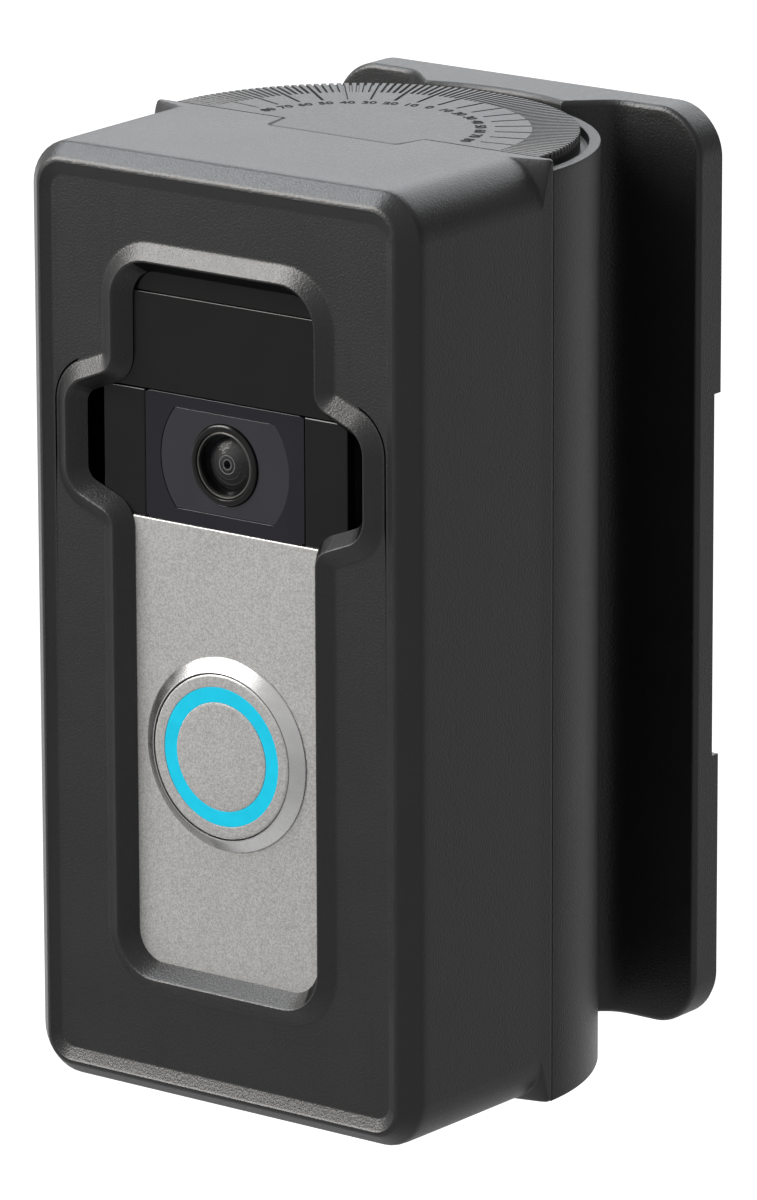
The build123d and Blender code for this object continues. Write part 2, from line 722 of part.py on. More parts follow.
def terminal_screws():
    """The two supply terminals' screws."""
    screws = []
    for x in TERMINAL_X:
        screw = rod_y(x, TERMINAL_Z, 3.0, -61.2, -59.6) + rod_y(x, TERMINAL_Z, 1.5, -64.2, -61)
        screws.append(screw - block(x - 0.4, x + 0.4, -60.4, -59, TERMINAL_Z - 4, TERMINAL_Z + 4))
    return screws


def bell_screws():
    """Two screws from inside the doorbell into the chassis."""
    inner_face = BELL_REAR - BELL_WALL
    screws = []
    for z in BELL_SCREW_Z:
        screw = rod_y(0, z, 2.8, inner_face - 1.8, inner_face - 0.05)
        screw += rod_y(0, z, 1.3, inner_face - 1, -56.9)
        screws.append(screw - block(-0.4, 0.4, inner_face - 3, inner_face - 1.1, z - 4, z + 4))
    return screws


def faceplate_screw():
    """The small screw under the doorbell that locks its faceplate."""
    return small_screw(0, -77.3, BELL_BOTTOM + 0.1, 0.9, 1.75, 0.95, 5.5, True)


# ---------------------------------------------------------------- button

def button_bezel():
    """The bright sloping ring round the button, clipped behind the faceplate."""
    rear = BELL_FACE + PLATE_FRONT_T + 0.9
    profile = [
        (BEZEL_IN_R, rear), (BEZEL_IN_R, BUTTON_FACE), (BEZEL_IN_R + 0.15, BUTTON_FACE),
        (BEZEL_OUT_R, BELL_FACE), (BEZEL_OUT_R, rear - 0.8), (BEZEL_OUT_R + 1.3, rear - 0.8),
        (BEZEL_OUT_R + 1.3, rear),
    ]
    section = make_face(Polyline(*profile, close=True))
    return Pos(0, 0, BUTTON_Z) * revolve(section, Axis.Y)


def button_cap():
    """The button: a silver cup with a groove for its light ring and a centre stem."""
    rear = BELL_FACE + PLATE_FRONT_T + 1.1
    cap = rod_y(0, BUTTON_Z, BUTTON_R, BUTTON_FACE, rear)
    cap += rod_y(0, BUTTON_Z, BUTTON_R + 1.5, rear, rear + 0.8)
    cap -= rod_y(0, BUTTON_Z, BUTTON_R - 1.3, BUTTON_FACE + 2.0, rear + 2)
    cap += rod_y(0, BUTTON_Z, 2.2, BUTTON_FACE + 1, STEM_REAR)
    cap -= ring_y(0, BUTTON_Z, RING_OUT_R, RING_IN_R, BUTTON_FACE - 1, BUTTON_FACE + RING_DEPTH)
    for x, z in light_points():
        cap -= rod_y(x, z, 0.9, -85, -80)
    return cap


def light_points():
    """Centres of the light guides, evenly round the ring."""
    middle = (RING_OUT_R + RING_IN_R) / 2
    turns = [2 * math.pi * index / LIGHT_POSTS for index in range(LIGHT_POSTS)]
    return [(middle * math.cos(turn), BUTTON_Z + middle * math.sin(turn)) for turn in turns]


def light_ring():
    """The light guide that shows as a ring, with a post over each lamp."""
    rear = BUTTON_FACE + RING_DEPTH - 0.05
    ring = ring_y(0, BUTTON_Z, RING_OUT_R - 0.02, RING_IN_R + 0.02, BUTTON_FACE, rear)
    for x, z in light_points():
        ring += rod_y(x, z, 0.85, BUTTON_FACE + 0.5, -80.6)
    return ring


def switch_plunger():
    """The moving button of the small switch, pressed by the cap's stem."""
    return rod_y(0, BUTTON_Z, 1.65, STEM_REAR, -76.0)


def tactile_switch():
    """The switch body on the light board."""
    body = block(-3, 3, -77.2, -74.25, BUTTON_Z - 3, BUTTON_Z + 3)
    return body - rod_y(0, BUTTON_Z, 1.75, -80, -74.9)


def light_board():
    """The round board that carries the switch and the ring's lamps."""
    return rod_y(0, BUTTON_Z, 17.0, -74.2, -73.2)


def ring_lamps():
    """One lamp under each light guide."""
    return [block(x - 0.8, x + 0.8, -75.0, -74.2, z - 0.8, z + 0.8) for x, z in light_points()]


# ---------------------------------------------------------------- write the nodes

def save(name, shape):
    """Write one node; a list is a group of separate solids."""
    solids = Compound(children=[*shape]) if isinstance(shape, list) else shape
    export_step(solids, f"parts/{name}.step")


MAKERS = (
    wall_plate, adhesive_pads, swivel_hub, pivot_bushes, hub_screws,
    front_shell, rear_shell, dial_cap, pivot_screws, friction_washers, chassis, chassis_screws,
    security_screws, side_pads, top_spacer,
    doorbell_housing, faceplate, faceplate_screw, camera_cover, camera_side_trims, camera_window,
    lens_barrel, lens_ring, lens_glass, iris_plate, inner_lens, lens_holder, camera_board,
    image_sensor, infrared_leds, main_board, shield_can, storage_capacitors, speaker, microphone,
    terminal_block, terminal_screws, bell_screws, button_bezel, tactile_switch, light_board,
    ring_lamps, button_cap, light_ring, switch_plunger,
)

os.makedirs("parts", exist_ok=True)
for maker in MAKERS:
    save(maker.__name__, maker())
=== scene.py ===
"""Video doorbell in a swivelling case: the visible surfaces, finishes and stage.

Every shape here is worked out on a grid, in millimetres, in the frame's own axes:
+Z up, the front facing -Y, the wall at Y = 0 and X = 0 the middle of the case.
"""
import json
import math
from functools import partial

import bmesh
import bpy
import numpy as np
from bpy.props import FloatProperty, FloatVectorProperty, PointerProperty
from mathutils import Matrix, Vector


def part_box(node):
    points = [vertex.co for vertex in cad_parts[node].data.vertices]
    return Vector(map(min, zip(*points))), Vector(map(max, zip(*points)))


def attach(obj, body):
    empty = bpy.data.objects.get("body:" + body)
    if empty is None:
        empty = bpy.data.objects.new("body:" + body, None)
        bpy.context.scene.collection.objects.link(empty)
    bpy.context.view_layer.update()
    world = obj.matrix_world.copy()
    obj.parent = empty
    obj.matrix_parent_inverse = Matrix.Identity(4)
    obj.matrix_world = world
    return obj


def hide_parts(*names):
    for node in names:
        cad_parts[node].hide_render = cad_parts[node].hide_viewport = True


bl_info = {
    "name": "Doorbell Case Builder",
    "version": (1, 0, 0),
    "blender": (4, 5, 0),
    "location": "3D View > Sidebar > Doorbell",
    "description": "Builds the visible pieces of a video doorbell in a swivelling case",
    "category": "Object",
}

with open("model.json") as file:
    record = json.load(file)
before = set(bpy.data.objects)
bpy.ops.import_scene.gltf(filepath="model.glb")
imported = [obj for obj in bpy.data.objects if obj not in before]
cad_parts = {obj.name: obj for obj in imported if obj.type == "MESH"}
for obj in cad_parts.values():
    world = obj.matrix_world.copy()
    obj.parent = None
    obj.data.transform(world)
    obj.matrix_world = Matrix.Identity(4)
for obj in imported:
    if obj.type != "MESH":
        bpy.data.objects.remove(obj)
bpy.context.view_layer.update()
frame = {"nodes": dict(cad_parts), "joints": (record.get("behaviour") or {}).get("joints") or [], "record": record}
MM = 0.001


def low_corner(node):
    """A CAD node's lowest corner, in millimetres."""
    return np.array(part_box(node)[0]) / MM


def high_corner(node):
    """A CAD node's highest corner, in millimetres."""
    return np.array(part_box(node)[1]) / MM


# ---- places taken from the frame
CASE_LOW = low_corner("front_shell")
CASE_HIGH = high_corner("front_shell")
DRUM_LOW = low_corner("rear_shell")
DRUM_HIGH = high_corner("rear_shell")
PLATE_HIGH = high_corner("wall_plate")
BELL_LOW = low_corner("doorbell_housing")
BELL_HALF_W = high_corner("doorbell_housing")[0]
FACE_Y = low_corner("faceplate")[1]
SPLIT_Z = high_corner("faceplate")[2]
CAMERA_HALF_W = high_corner("camera_cover")[0]
BUTTON_Y = low_corner("button_cap")[1]
BUTTON_Z = (high_corner("button_bezel")[2] + low_corner("button_bezel")[2]) / 2
LENS_Z = (high_corner("lens_barrel")[2] + low_corner("lens_barrel")[2]) / 2
AXIS_Y = frame["joints"][0]["pos_m"][1] / MM
CASE_HALF_H = CASE_HIGH[2]
DRUM_R = DRUM_HIGH[0]
SEAM_Y = CASE_HIGH[1]

# ---- case: depths of its front's levels, its wall and the radius of its long edges
CREST_Y = CASE_LOW[1]
LIP_Y = CREST_Y + 0.65
PANEL_Y = CREST_Y + 1.55
PANEL_BACK_Y = CREST_Y + 2.95
CHAMFER_Y = CREST_Y + 3.75
FUNNEL_SLOPE = 0.6885
WALL = 2.2
EDGE_R = 7.5

# ---- the opening at its crest: across, up, corner radius (negative points inwards)
OPENING = (
    (19.65, -55.9, 7.0), (19.65, 17.95, -3.2), (28.8, 21.55, 4.5),
    (28.8, 37.6, 4.5), (19.65, 41.25, -3.2), (19.65, 59.15, 6.6),
    (-19.65, 59.15, 6.6), (-19.65, 41.25, -3.2), (-28.8, 37.6, 4.5),
    (-28.8, 21.55, 4.5), (-19.65, 17.95, -3.2), (-19.65, -55.9, 7.0),
)
ARC_STEPS = 9
LINE_STEPS = 7

# ---- the locking screws under the case, and the wells for them and the lower pivot screw
LOCK_X = (-6.0, 6.0)
LOCK_Y = -64.0
LOCK_HOLE_R = 1.7
LOCK_WELL_R = 3.2
LOCK_WELL_DEPTH = 1.3
PIVOT_WELL_R = 4.3
WELL_LOW = -80.0
WELL_HIGH = -72.0

# ---- the drum: its wall, and the slot and pegs cut from it
DRUM_WALL = 1.9
SLOT_HALF_ANGLE = 53
SLOT_HALF_H = 69.0
PEG_X = (-22.0, 22.0)
PEG_Y = -35.0

# ---- the dial and its keyed tab, seen from above
DIAL_TOP = CASE_HALF_H - 0.04
DIAL_R = 35.1
DIAL_GAP = 0.25
TAB_FRONT = -54.2
TAB_HALF = 12.5
TAB_REAR_HALF = 13.6
TAB_ROUND = 1.2
NUMBER_SIZE = 2.45
NUMBER_R = 19.6

# ---- the bracket: depth of its wings, and the neck that rises from them
PLATE_WING_Y = -6.3
PLATE_CORNER_R = 8.0
PLATE_EDGE = 0.9
NECK_ROOT = 19.8
NECK_SPREAD = 1.05
NECK_SOFT = 0.9
HUB_R = 35.6
BLADE_HALF_W = 13.3

# ---- the lens: its dome's foremost point and the two radii of its glass
LENS_APEX = -82.45
DOME_R = 6.6
DOME_INNER_R = 6.2


# ======== outlines

def rounded_loop(corners, counts, grow=0.0, arc=ARC_STEPS):
    """Points round a polygon with rounded corners, anticlockwise.

    Each corner moves outwards by grow along the sum of its two side normals divided by one
    plus their product, and becomes an arc that meets both sides. Straight sides get counts[i]
    points whose spacing closes up towards the ends as a half cosine.
    """
    table = np.asarray(corners, float)
    place, radius = table[:, :2], np.abs(table[:, 2] + grow)
    ahead = np.roll(place, -1, axis=0) - place
    ahead /= np.linalg.norm(ahead, axis=1)[:, None]
    behind = np.roll(ahead, 1, axis=0)
    side_in = np.stack([behind[:, 1], -behind[:, 0]], 1)
    side_out = np.stack([ahead[:, 1], -ahead[:, 0]], 1)
    spread = 1 + (side_in * side_out).sum(1)
    moved = place + grow * (side_in + side_out) / spread[:, None]
    turn = np.arctan2(behind[:, 0] * ahead[:, 1] - behind[:, 1] * ahead[:, 0], (behind * ahead).sum(1))
    reach = radius * np.tan(np.abs(turn) / 2)
    start = moved - behind * reach[:, None]
    end = moved + ahead * reach[:, None]
    centre = start - side_in * (np.sign(turn) * radius)[:, None]
    first = np.arctan2(start[:, 1] - centre[:, 1], start[:, 0] - centre[:, 0])
    swing = first[:, None] + turn[:, None] * np.linspace(0, 1, arc + 1)
    arcs = centre[:, None, :] + radius[:, None, None] * np.stack([np.cos(swing), np.sin(swing)], -1)
    following = np.roll(start, -1, axis=0)
    parts = []
    for index, count in enumerate(counts):
        spacing = 0.5 - 0.5 * np.cos(np.pi * np.arange(1, count + 1) / (count + 1))
        line = end[index] + (following[index] - end[index]) * spacing[:, None]
        parts += [arcs[index], line]
    return np.concatenate(parts)


def box_corners(width, height, radius, x=0.0, z=0.0):
    """A rounded rectangle's corners, starting at its lower right one."""
    right, left, high, low = x + width / 2, x - width / 2, z + height / 2, z - height / 2
    return [(right, low, radius), (right, high, radius), (left, high, radius), (left, low, radius)]


def opening_loop(grow):
    """The opening's outline, moved outwards by grow."""
    return rounded_loop(OPENING, [LINE_STEPS] * len(OPENING), grow)


def matching_box(width, height, radius):
    """A rounded rectangle with one point for each point of the opening's outline."""
    side = 5 * LINE_STEPS + 4 * (ARC_STEPS + 1)
    return rounded_loop(box_corners(width, height, radius), (side, LINE_STEPS, side, LINE_STEPS))


def towards(loop, centre, radius):
    """The point of a circle that lies in the direction of each point of an outline."""
    arm = loop - np.asarray(centre, float)
    return centre + radius * arm / np.linalg.norm(arm, axis=1)[:, None]


def at_depth(loop, y):
    """An outline on the front plane set at depth y."""
    return np.stack([loop[:, 0], np.full(len(loop), float(y)), loop[:, 1]], 1)


def smooth_edge(count=4):
    """Pairs (inwards, back) for a quarter-round edge of radius one, from face to side."""
    turn = np.linspace(0, np.pi / 2, count + 1)
    return np.stack([1 - np.sin(turn), 1 - np.cos(turn)], 1)


# ======== meshes

def finish_mesh(mesh, sharp):
    """Merges doubles, turns faces outwards and shades smoothly up to the sharp angle."""
    work = bmesh.new()
    work.from_mesh(mesh)
    bmesh.ops.remove_doubles(work, verts=work.verts, dist=1e-7)
    bmesh.ops.dissolve_degenerate(work, dist=1e-7, edges=work.edges)
    bmesh.ops.recalc_face_normals(work, faces=work.faces)
    work.to_mesh(mesh)
    work.free()
    mesh.shade_smooth()
    mesh.set_sharp_from_angle(angle=math.radians(sharp))
    mesh.update()


def stack_mesh(rings, wrap=False, caps=True):
    """Vertices and faces of a stack of closed outlines: each outline is joined to the next by
    quads, the last to the first if wrap is set; otherwise caps may close the two ends."""
    rings = np.asarray(rings, float)
    count, size = rings.shape[:2]
    index = np.arange(count * size).reshape(count, size)
    here, above = (index, np.roll(index, -1, axis=0)) if wrap else (index[:-1], index[1:])
    corners = [here, np.roll(here, -1, axis=1), np.roll(above, -1, axis=1), above]
    faces = np.stack(corners, -1).reshape(-1, 4).tolist()
    if caps and not wrap:
        faces += [index[0].tolist(), index[-1][::-1].tolist()]
    return rings.reshape(-1, 3), faces


def upright_mesh(levels):
    """A closed upright shell through pairs of an outline seen from above and its height."""
    return stack_mesh([np.column_stack([loop, np.full(len(loop), z)]) for loop, z in levels])


def new_piece(name, *parts, sharp=32.0):
    """One object from one or more (vertices, faces) pairs, in metres at the origin."""
    points, faces, base = [], [], 0
    for vertices, part_faces in parts:
        points.append(np.asarray(vertices, float) * MM)
        faces += [[base + i for i in face] for face in part_faces]
        base += len(vertices)
    mesh = bpy.data.meshes.new(name)
    mesh.from_pydata(np.concatenate(points), [], faces)
    finish_mesh(mesh, sharp)
    piece = bpy.data.objects.new(name, mesh)
    bpy.context.scene.collection.objects.link(piece)
    return piece


def carve(piece, *cutters, sharp=32.0):
    """Cuts closed shapes out of a piece and keeps the result as its mesh."""
    for number, cutter in enumerate(cutters):
        tool = new_piece(f"cutter_{number}", cutter)
        cut = piece.modifiers.new("cut", "BOOLEAN")
        cut.operation = "DIFFERENCE"
        cut.solver = "EXACT"
        cut.object = tool
        bpy.context.view_layer.update()
        shown = piece.evaluated_get(bpy.context.evaluated_depsgraph_get())
        mesh = bpy.data.meshes.new_from_object(shown)
        piece.modifiers.clear()
        old = piece.data
        piece.data = mesh
        mesh.name = piece.name
        bpy.data.meshes.remove(old)
        tool_mesh = tool.data
        bpy.data.objects.remove(tool)
        bpy.data.meshes.remove(tool_mesh)
    piece.data.shade_smooth()
    piece.data.set_sharp_from_angle(angle=math.radians(sharp))


def plate(outer, front, back, edge=0.3, hole=None):
    """A flat plate seen from the front, with rounded front edges and an optional hole.
    outer and hole give their outlines moved outwards by a distance."""
    curve = smooth_edge()
    rings = [at_depth(outer(0.0), back)]
    rings += [at_depth(outer(-edge * a), front + edge * b) for a, b in curve[::-1]]
    rings += [at_depth(outer(-2 * edge), front)]
    if hole is None:
        return stack_mesh(rings)
    rings += [at_depth(hole(2 * edge), front)]
    rings += [at_depth(hole(edge * a), front + edge * b) for a, b in curve]
    rings += [at_depth(hole(0.0), back)]
    return stack_mesh(rings, wrap=True)


def turned(profile, x=0.0, z=0.0, steps=128, lobes=None, wrap=False):
    """A profile of (radius, depth) turned about a front-to-back axis. lobes gives, for each
    profile point, how strongly six lobes swell its radius, as in a star recess. With wrap the
    profile's last point joins its first, which makes a ring."""
    profile = np.asarray(profile, float)
    turn = 2 * np.pi * np.arange(steps) / steps
    swell = np.zeros(len(profile)) if lobes is None else np.asarray(lobes, float)
    radius = profile[:, :1] * (1 + swell[:, None] * np.cos(6 * turn))
    depth = np.broadcast_to(profile[:, 1:], radius.shape)
    rings = np.stack([x + radius * np.cos(turn), depth, z + radius * np.sin(turn)], -1)
    return stack_mesh(rings, wrap, caps=False)


def turned_up(profile, x, y, steps=96, lobes=None):
    """A profile of (radius, height) turned about an upright axis through (x, y)."""
    points, faces = turned(profile, 0, 0, steps, lobes)
    return np.stack([x + points[:, 0], y + points[:, 2], points[:, 1]], 1), faces


def well(radius, x, y, low=WELL_LOW, high=WELL_HIGH, steps=48):
    """An upright round cutter."""
    return turned_up([(0, low), (radius, low), (radius, high), (0, high)], x, y, steps)


def prism(outline, low, high):
    """An upright prism over an outline seen from above."""
    outline = np.asarray(outline, float)
    return upright_mesh([(outline, low), (outline, high)])


def brick(low, high):
    """A cutter that fills the space between two corners."""
    (x0, y0, z0), (x1, y1, z1) = low, high
    return prism([(x0, y0), (x1, y0), (x1, y1), (x0, y1)], z0, z1)


def soft_brick(low, high, edge):
    """A block between two corners with its front edges rounded."""
    (x0, y0, z0), (x1, y1, z1) = low, high
    corners = box_corners(x1 - x0, z1 - z0, edge * 2.5, (x0 + x1) / 2, (z0 + z1) / 2)
    return plate(partial(rounded_loop, corners, (6, 6, 6, 6)), y0, y1, edge)


# ======== finishes

class Wire:
    """A value in a node tree. Arithmetic on it adds the Math nodes that work it out."""

    def __init__(self, owner, socket):
        self.owner = owner
        self.socket = socket

    def maths(self, operation, first, second):
        return self.owner.node("ShaderNodeMath", {"operation": operation}, {0: first, 1: second})

    def __add__(self, other):
        return self.maths("ADD", self, other)

    def __radd__(self, other):
        return self.maths("ADD", other, self)

    def __sub__(self, other):
        return self.maths("SUBTRACT", self, other)

    def __rsub__(self, other):
        return self.maths("SUBTRACT", other, self)

    def __mul__(self, other):
        return self.maths("MULTIPLY", self, other)

    def __rmul__(self, other):
        return self.maths("MULTIPLY", other, self)


class Nodes:
    """A node tree with one method that adds to it."""

    def __init__(self, tree):
        self.tree = tree

    def node(self, kind, settings=None, sockets=None, out=0):
        """Adds a node, sets it, then fills its sockets with values or wires."""
        made = self.tree.nodes.new(kind)
        for key, value in (settings or {}).items():
            setattr(made, key, value)
        for key, value in (sockets or {}).items():
            if isinstance(value, Wire):
                self.tree.links.new(value.socket, made.inputs[key])
            else:
                made.inputs[key].default_value = value
        return Wire(self, made.outputs[out])


class Finish(Nodes):
    """A material built round one Principled shader."""

    def __init__(self, name, **constants):
        self.material = bpy.data.materials.new(name)
        self.material.use_nodes = True
        super().__init__(self.material.node_tree)
        self.tree.nodes.clear()
        self.shader = self.tree.nodes.new("ShaderNodeBsdfPrincipled")
        output = self.tree.nodes.new("ShaderNodeOutputMaterial")
        self.tree.links.new(self.shader.outputs[0], output.inputs["Surface"])
        for key, value in constants.items():
            self.shader.inputs[key.replace("_", " ")].default_value = value
        self.place = self.node("ShaderNodeTexCoord", out="Object")

    def noise(self, size, detail=2.0, stretch=(1, 1, 1)):
        """Noise whose grains are about size millimetres across."""
        scaled = self.node("ShaderNodeMapping", None, {"Vector": self.place, "Scale": stretch})
        sockets = {"Vector": scaled, "Scale": 1.0 / (size * MM), "Detail": detail, "Roughness": 0.55}
        return self.node("ShaderNodeTexNoise", None, sockets)

    def cells(self, scale, **settings):
        """Distance to the middle of the nearest of many cells."""
        sockets = {"Vector": self.place, "Scale": scale}
        return self.node("ShaderNodeTexVoronoi", settings, sockets, "Distance")

    def ramp(self, value, low, high):
        """Maps value from the range low to high onto nought to one."""
        return self.node("ShaderNodeMapRange", None, {"Value": value, "From Min": low, "From Max": high})

    def feed(self, name, value):
        """Links a wire to one of the shader's sockets."""
        self.tree.links.new(value.socket, self.shader.inputs[name])

    def blend(self, name, share, first, second):
        """Feeds a colour socket with a mix of two colours."""
        sockets = {0: share, 6: (*first, 1.0), 7: (*second, 1.0)}
        self.feed(name, self.node("ShaderNodeMix", {"data_type": "RGBA"}, sockets, out=2))

    def tint(self, share, colour, dark, light, name="Base Color"):
        """Feeds a colour socket with a colour that runs from dark to light times itself."""
        self.blend(name, share, shade(colour, dark), shade(colour, light))

    def bump(self, height, strength, depth_mm):
        """Raises the surface by a height pattern."""
        sockets = {"Height": height, "Strength": strength, "Distance": depth_mm * MM}
        self.feed("Normal", self.node("ShaderNodeBump", None, sockets))


def shade(colour, factor):
    """A colour made lighter or darker."""
    return tuple(min(1.0, channel * factor) for channel in colour)


def grained_plastic(name, colour, roughness, shine=0.5, grain=0.35, depth=0.07, speck=0.3):
    """Moulded plastic with a fine etched grain, faint clouding and rubbed streaks."""
    made = Finish(name, Specular_IOR_Level=shine)
    etched = made.noise(grain, 3.0)
    cloud = made.noise(14.0, 3.0)
    streak = made.noise(1.2, 2.0, (1, 1, 0.08))
    made.tint(made.ramp(etched * 0.7 + cloud * 0.3, 0.35, 0.65), colour, 1 - speck, 1 + speck)
    rubbed = made.ramp(streak, 0.62, 0.75)
    made.feed("Roughness", (etched - 0.5) * 0.2 + (cloud - 0.5) * 0.05 + roughness - rubbed * 0.05)
    made.bump(etched, 1.0, depth)
    return made.material


def blasted_metal(name, colour, roughness=0.42, grain=0.26):
    """Fine sand-blasted metal paint: bright and dark flecks over a soft sheen."""
    made = Finish(name, Metallic=0.55)
    fleck = made.noise(grain, 4.0)
    cloud = made.noise(20.0, 2.0)
    made.tint(made.ramp(fleck * 0.92 + cloud * 0.08, 0.34, 0.66), colour, 0.74, 1.24)
    made.feed("Roughness", (fleck - 0.5) * 0.2 + roughness + (cloud - 0.5) * 0.06)
    made.bump(fleck, 0.35, 0.012)
    return made.material


def polished_metal(name, colour, roughness):
    """Satin bright metal with faint turning marks and smudges."""
    made = Finish(name, Metallic=1.0)
    smudge = made.noise(5.0, 3.0)
    fine = made.noise(0.18, 2.0)
    made.tint(made.ramp(smudge, 0.3, 0.7), colour, 0.94, 1.04)
    made.feed("Roughness", made.ramp(smudge, 0.3, 0.75) * 0.1 + roughness + (fine - 0.5) * 0.05)
    made.bump(fine, 0.15, 0.004)
    return made.material


def gloss_plastic(name, colour, roughness, shine=0.5):
    """Gloss moulding with a slight orange peel and dust-fine wear."""
    made = Finish(name, Specular_IOR_Level=shine)
    peel = made.noise(1.8, 1.0)
    dust = made.noise(0.25, 3.0)
    cloud = made.noise(9.0, 2.0)
    made.tint(made.ramp(cloud, 0.3, 0.7), colour, 0.9, 1.12)
    made.feed("Roughness", made.ramp(dust, 0.55, 0.75) * 0.08 + roughness + (cloud - 0.5) * 0.05)
    made.bump(peel, 0.12, 0.01)
    return made.material


def rubbery(name, colour, cell):
    """Foam or rubber with open pores."""
    made = Finish(name)
    pores = made.cells(1.0 / (cell * MM))
    cloud = made.noise(6.0, 3.0)
    made.tint(made.ramp(pores * 0.6 + cloud * 0.4, 0.1, 0.6), colour, 0.7, 1.1)
    made.feed("Roughness", made.ramp(cloud, 0.3, 0.7) * 0.12 + 0.78)
    made.bump(pores, 0.6, 0.08)
    return made.material


def glowing(name, colour, strength):
    """A frosted light guide that glows evenly, with a faint mottle."""
    made = Finish(name, Emission_Strength=strength, Specular_IOR_Level=0.2)
    mottle = made.noise(2.5, 2.0)
    share = made.ramp(mottle, 0.3, 0.7)
    made.tint(share, colour, 0.06, 0.1)
    made.tint(share, colour, 0.96, 1.0, "Emission Color")
    made.feed("Roughness", mottle * 0.2 + 0.4)
    return made.material


def smoked_glass(name, colour, roughness=0.06):
    """Dark window with a hard coat; smears show only in its gloss."""
    made = Finish(name, Coat_Weight=0.15, Coat_Roughness=0.04, IOR=1.5)
    smear = made.noise(4.0, 3.0, (1, 1, 0.35))
    made.tint(made.ramp(smear, 0.35, 0.7), colour, 1.0, 1.15)
    made.feed("Roughness", made.ramp(smear, 0.4, 0.8) * 0.06 + roughness)
    return made.material


def clear_glass(name, colour, alpha=0.14):
    """Thin coated glass."""
    made = Finish(name, Alpha=alpha, Coat_Weight=0.04, Coat_Roughness=0.02, Specular_IOR_Level=0.22)
    sheen = made.noise(3.0, 1.0)
    made.tint(made.ramp(sheen, 0.3, 0.7), colour, 1.0, 1.2)
    made.feed("Roughness", sheen * 0.03 + 0.02)
    return made.material


def board_green(name, mask, tracks):
    """Solder mask with tracks and pads."""
    made = Finish(name)
    edge = made.ramp(made.cells(420.0, distance="CHEBYCHEV"), 0.42, 0.46)
    made.blend("Base Color", edge, mask, tracks)
    made.feed("Roughness", edge * 0.15 + 0.3)
    made.bump(edge, 0.4, 0.03)
    return made.material


FINISHES = {}


def finish_recipes(look):
    """For each finish, the function that makes it and what that function takes: the colour,
    then for most the roughness and the shine."""
    case = tuple(look.case_colour)
    return {
        "case_black": (grained_plastic, case, 0.38),
        "drum_black": (grained_plastic, case, 0.42, 0.32),
        # painted shade: the opening's wall gets the case plastic at a third of its colour, with little shine
        "funnel_black": (grained_plastic, shade(case, 0.35), 0.5, 0.05),
        "dial_grey": (grained_plastic, shade(case, 1.3), 0.4),
        "bracket_black": (grained_plastic, case, 0.39),
        "inner_black": (grained_plastic, (0.012, 0.012, 0.012), 0.62, 0.5, 0.4),
        "adhesive": (rubbery, (0.62, 0.62, 0.6), 0.7),
        "foam": (rubbery, (0.05, 0.05, 0.05), 0.5),
        "bush": (gloss_plastic, (0.8, 0.78, 0.72), 0.35),
        "steel": (polished_metal, (0.5, 0.5, 0.51), 0.3),
        "silver_plate": (blasted_metal, tuple(look.plate_colour)),
        "bezel_chrome": (polished_metal, (0.64, 0.635, 0.63), 0.22),
        "ring_light": (glowing, tuple(look.ring_colour), 0.93),
        "gloss_black": (gloss_plastic, (0.005, 0.005, 0.005), 0.14, 0.28),
        "cover_black": (gloss_plastic, (0.009, 0.0085, 0.012), 0.12, 0.3),
        "smoked_window": (smoked_glass, (0.014, 0.014, 0.018)),
        "optics": (clear_glass, (0.003, 0.003, 0.005)),
        "ring_metal": (polished_metal, (0.13, 0.127, 0.12), 0.36),
        "board": (board_green, (0.02, 0.12, 0.06), (0.06, 0.25, 0.12)),
        "parts_dark": (gloss_plastic, (0.04, 0.04, 0.045), 0.3),
        "lamp_white": (gloss_plastic, (0.7, 0.7, 0.66), 0.4),
        "number_ink": (gloss_plastic, (0.006, 0.006, 0.006), 0.6, 0.05),
    }


def finish_named(name):
    """The finish of that name, made once."""
    if name not in FINISHES:
        maker, *settings = finish_recipes(bpy.context.scene.doorbell_look)[name]
        FINISHES[name] = maker(name, *settings)
    return FINISHES[name]


def hand_over(piece, body, slot, node=None, finish=None):
    """Gives a piece its finish and its body, evens its shading, and hides the CAD node that it stands for, if any.
    """
    piece.data.materials.clear()
    piece.data.materials.append(finish_named(finish or slot))
    even = piece.modifiers.new("even_shading", "WEIGHTED_NORMAL")
    even.keep_sharp = True
    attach(piece, body)
    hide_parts(*([node] if node else []))


def add_piece(name, body, slot, node, *parts, finish=None):
    """Makes a piece from its parts and hands it over."""
    hand_over(new_piece(name, *parts), body, slot, node, finish)


# ======== case

def funnel(y):
    """How far the opening's wall has moved in at depth y."""
    return -FUNNEL_SLOPE * (y - CREST_Y)


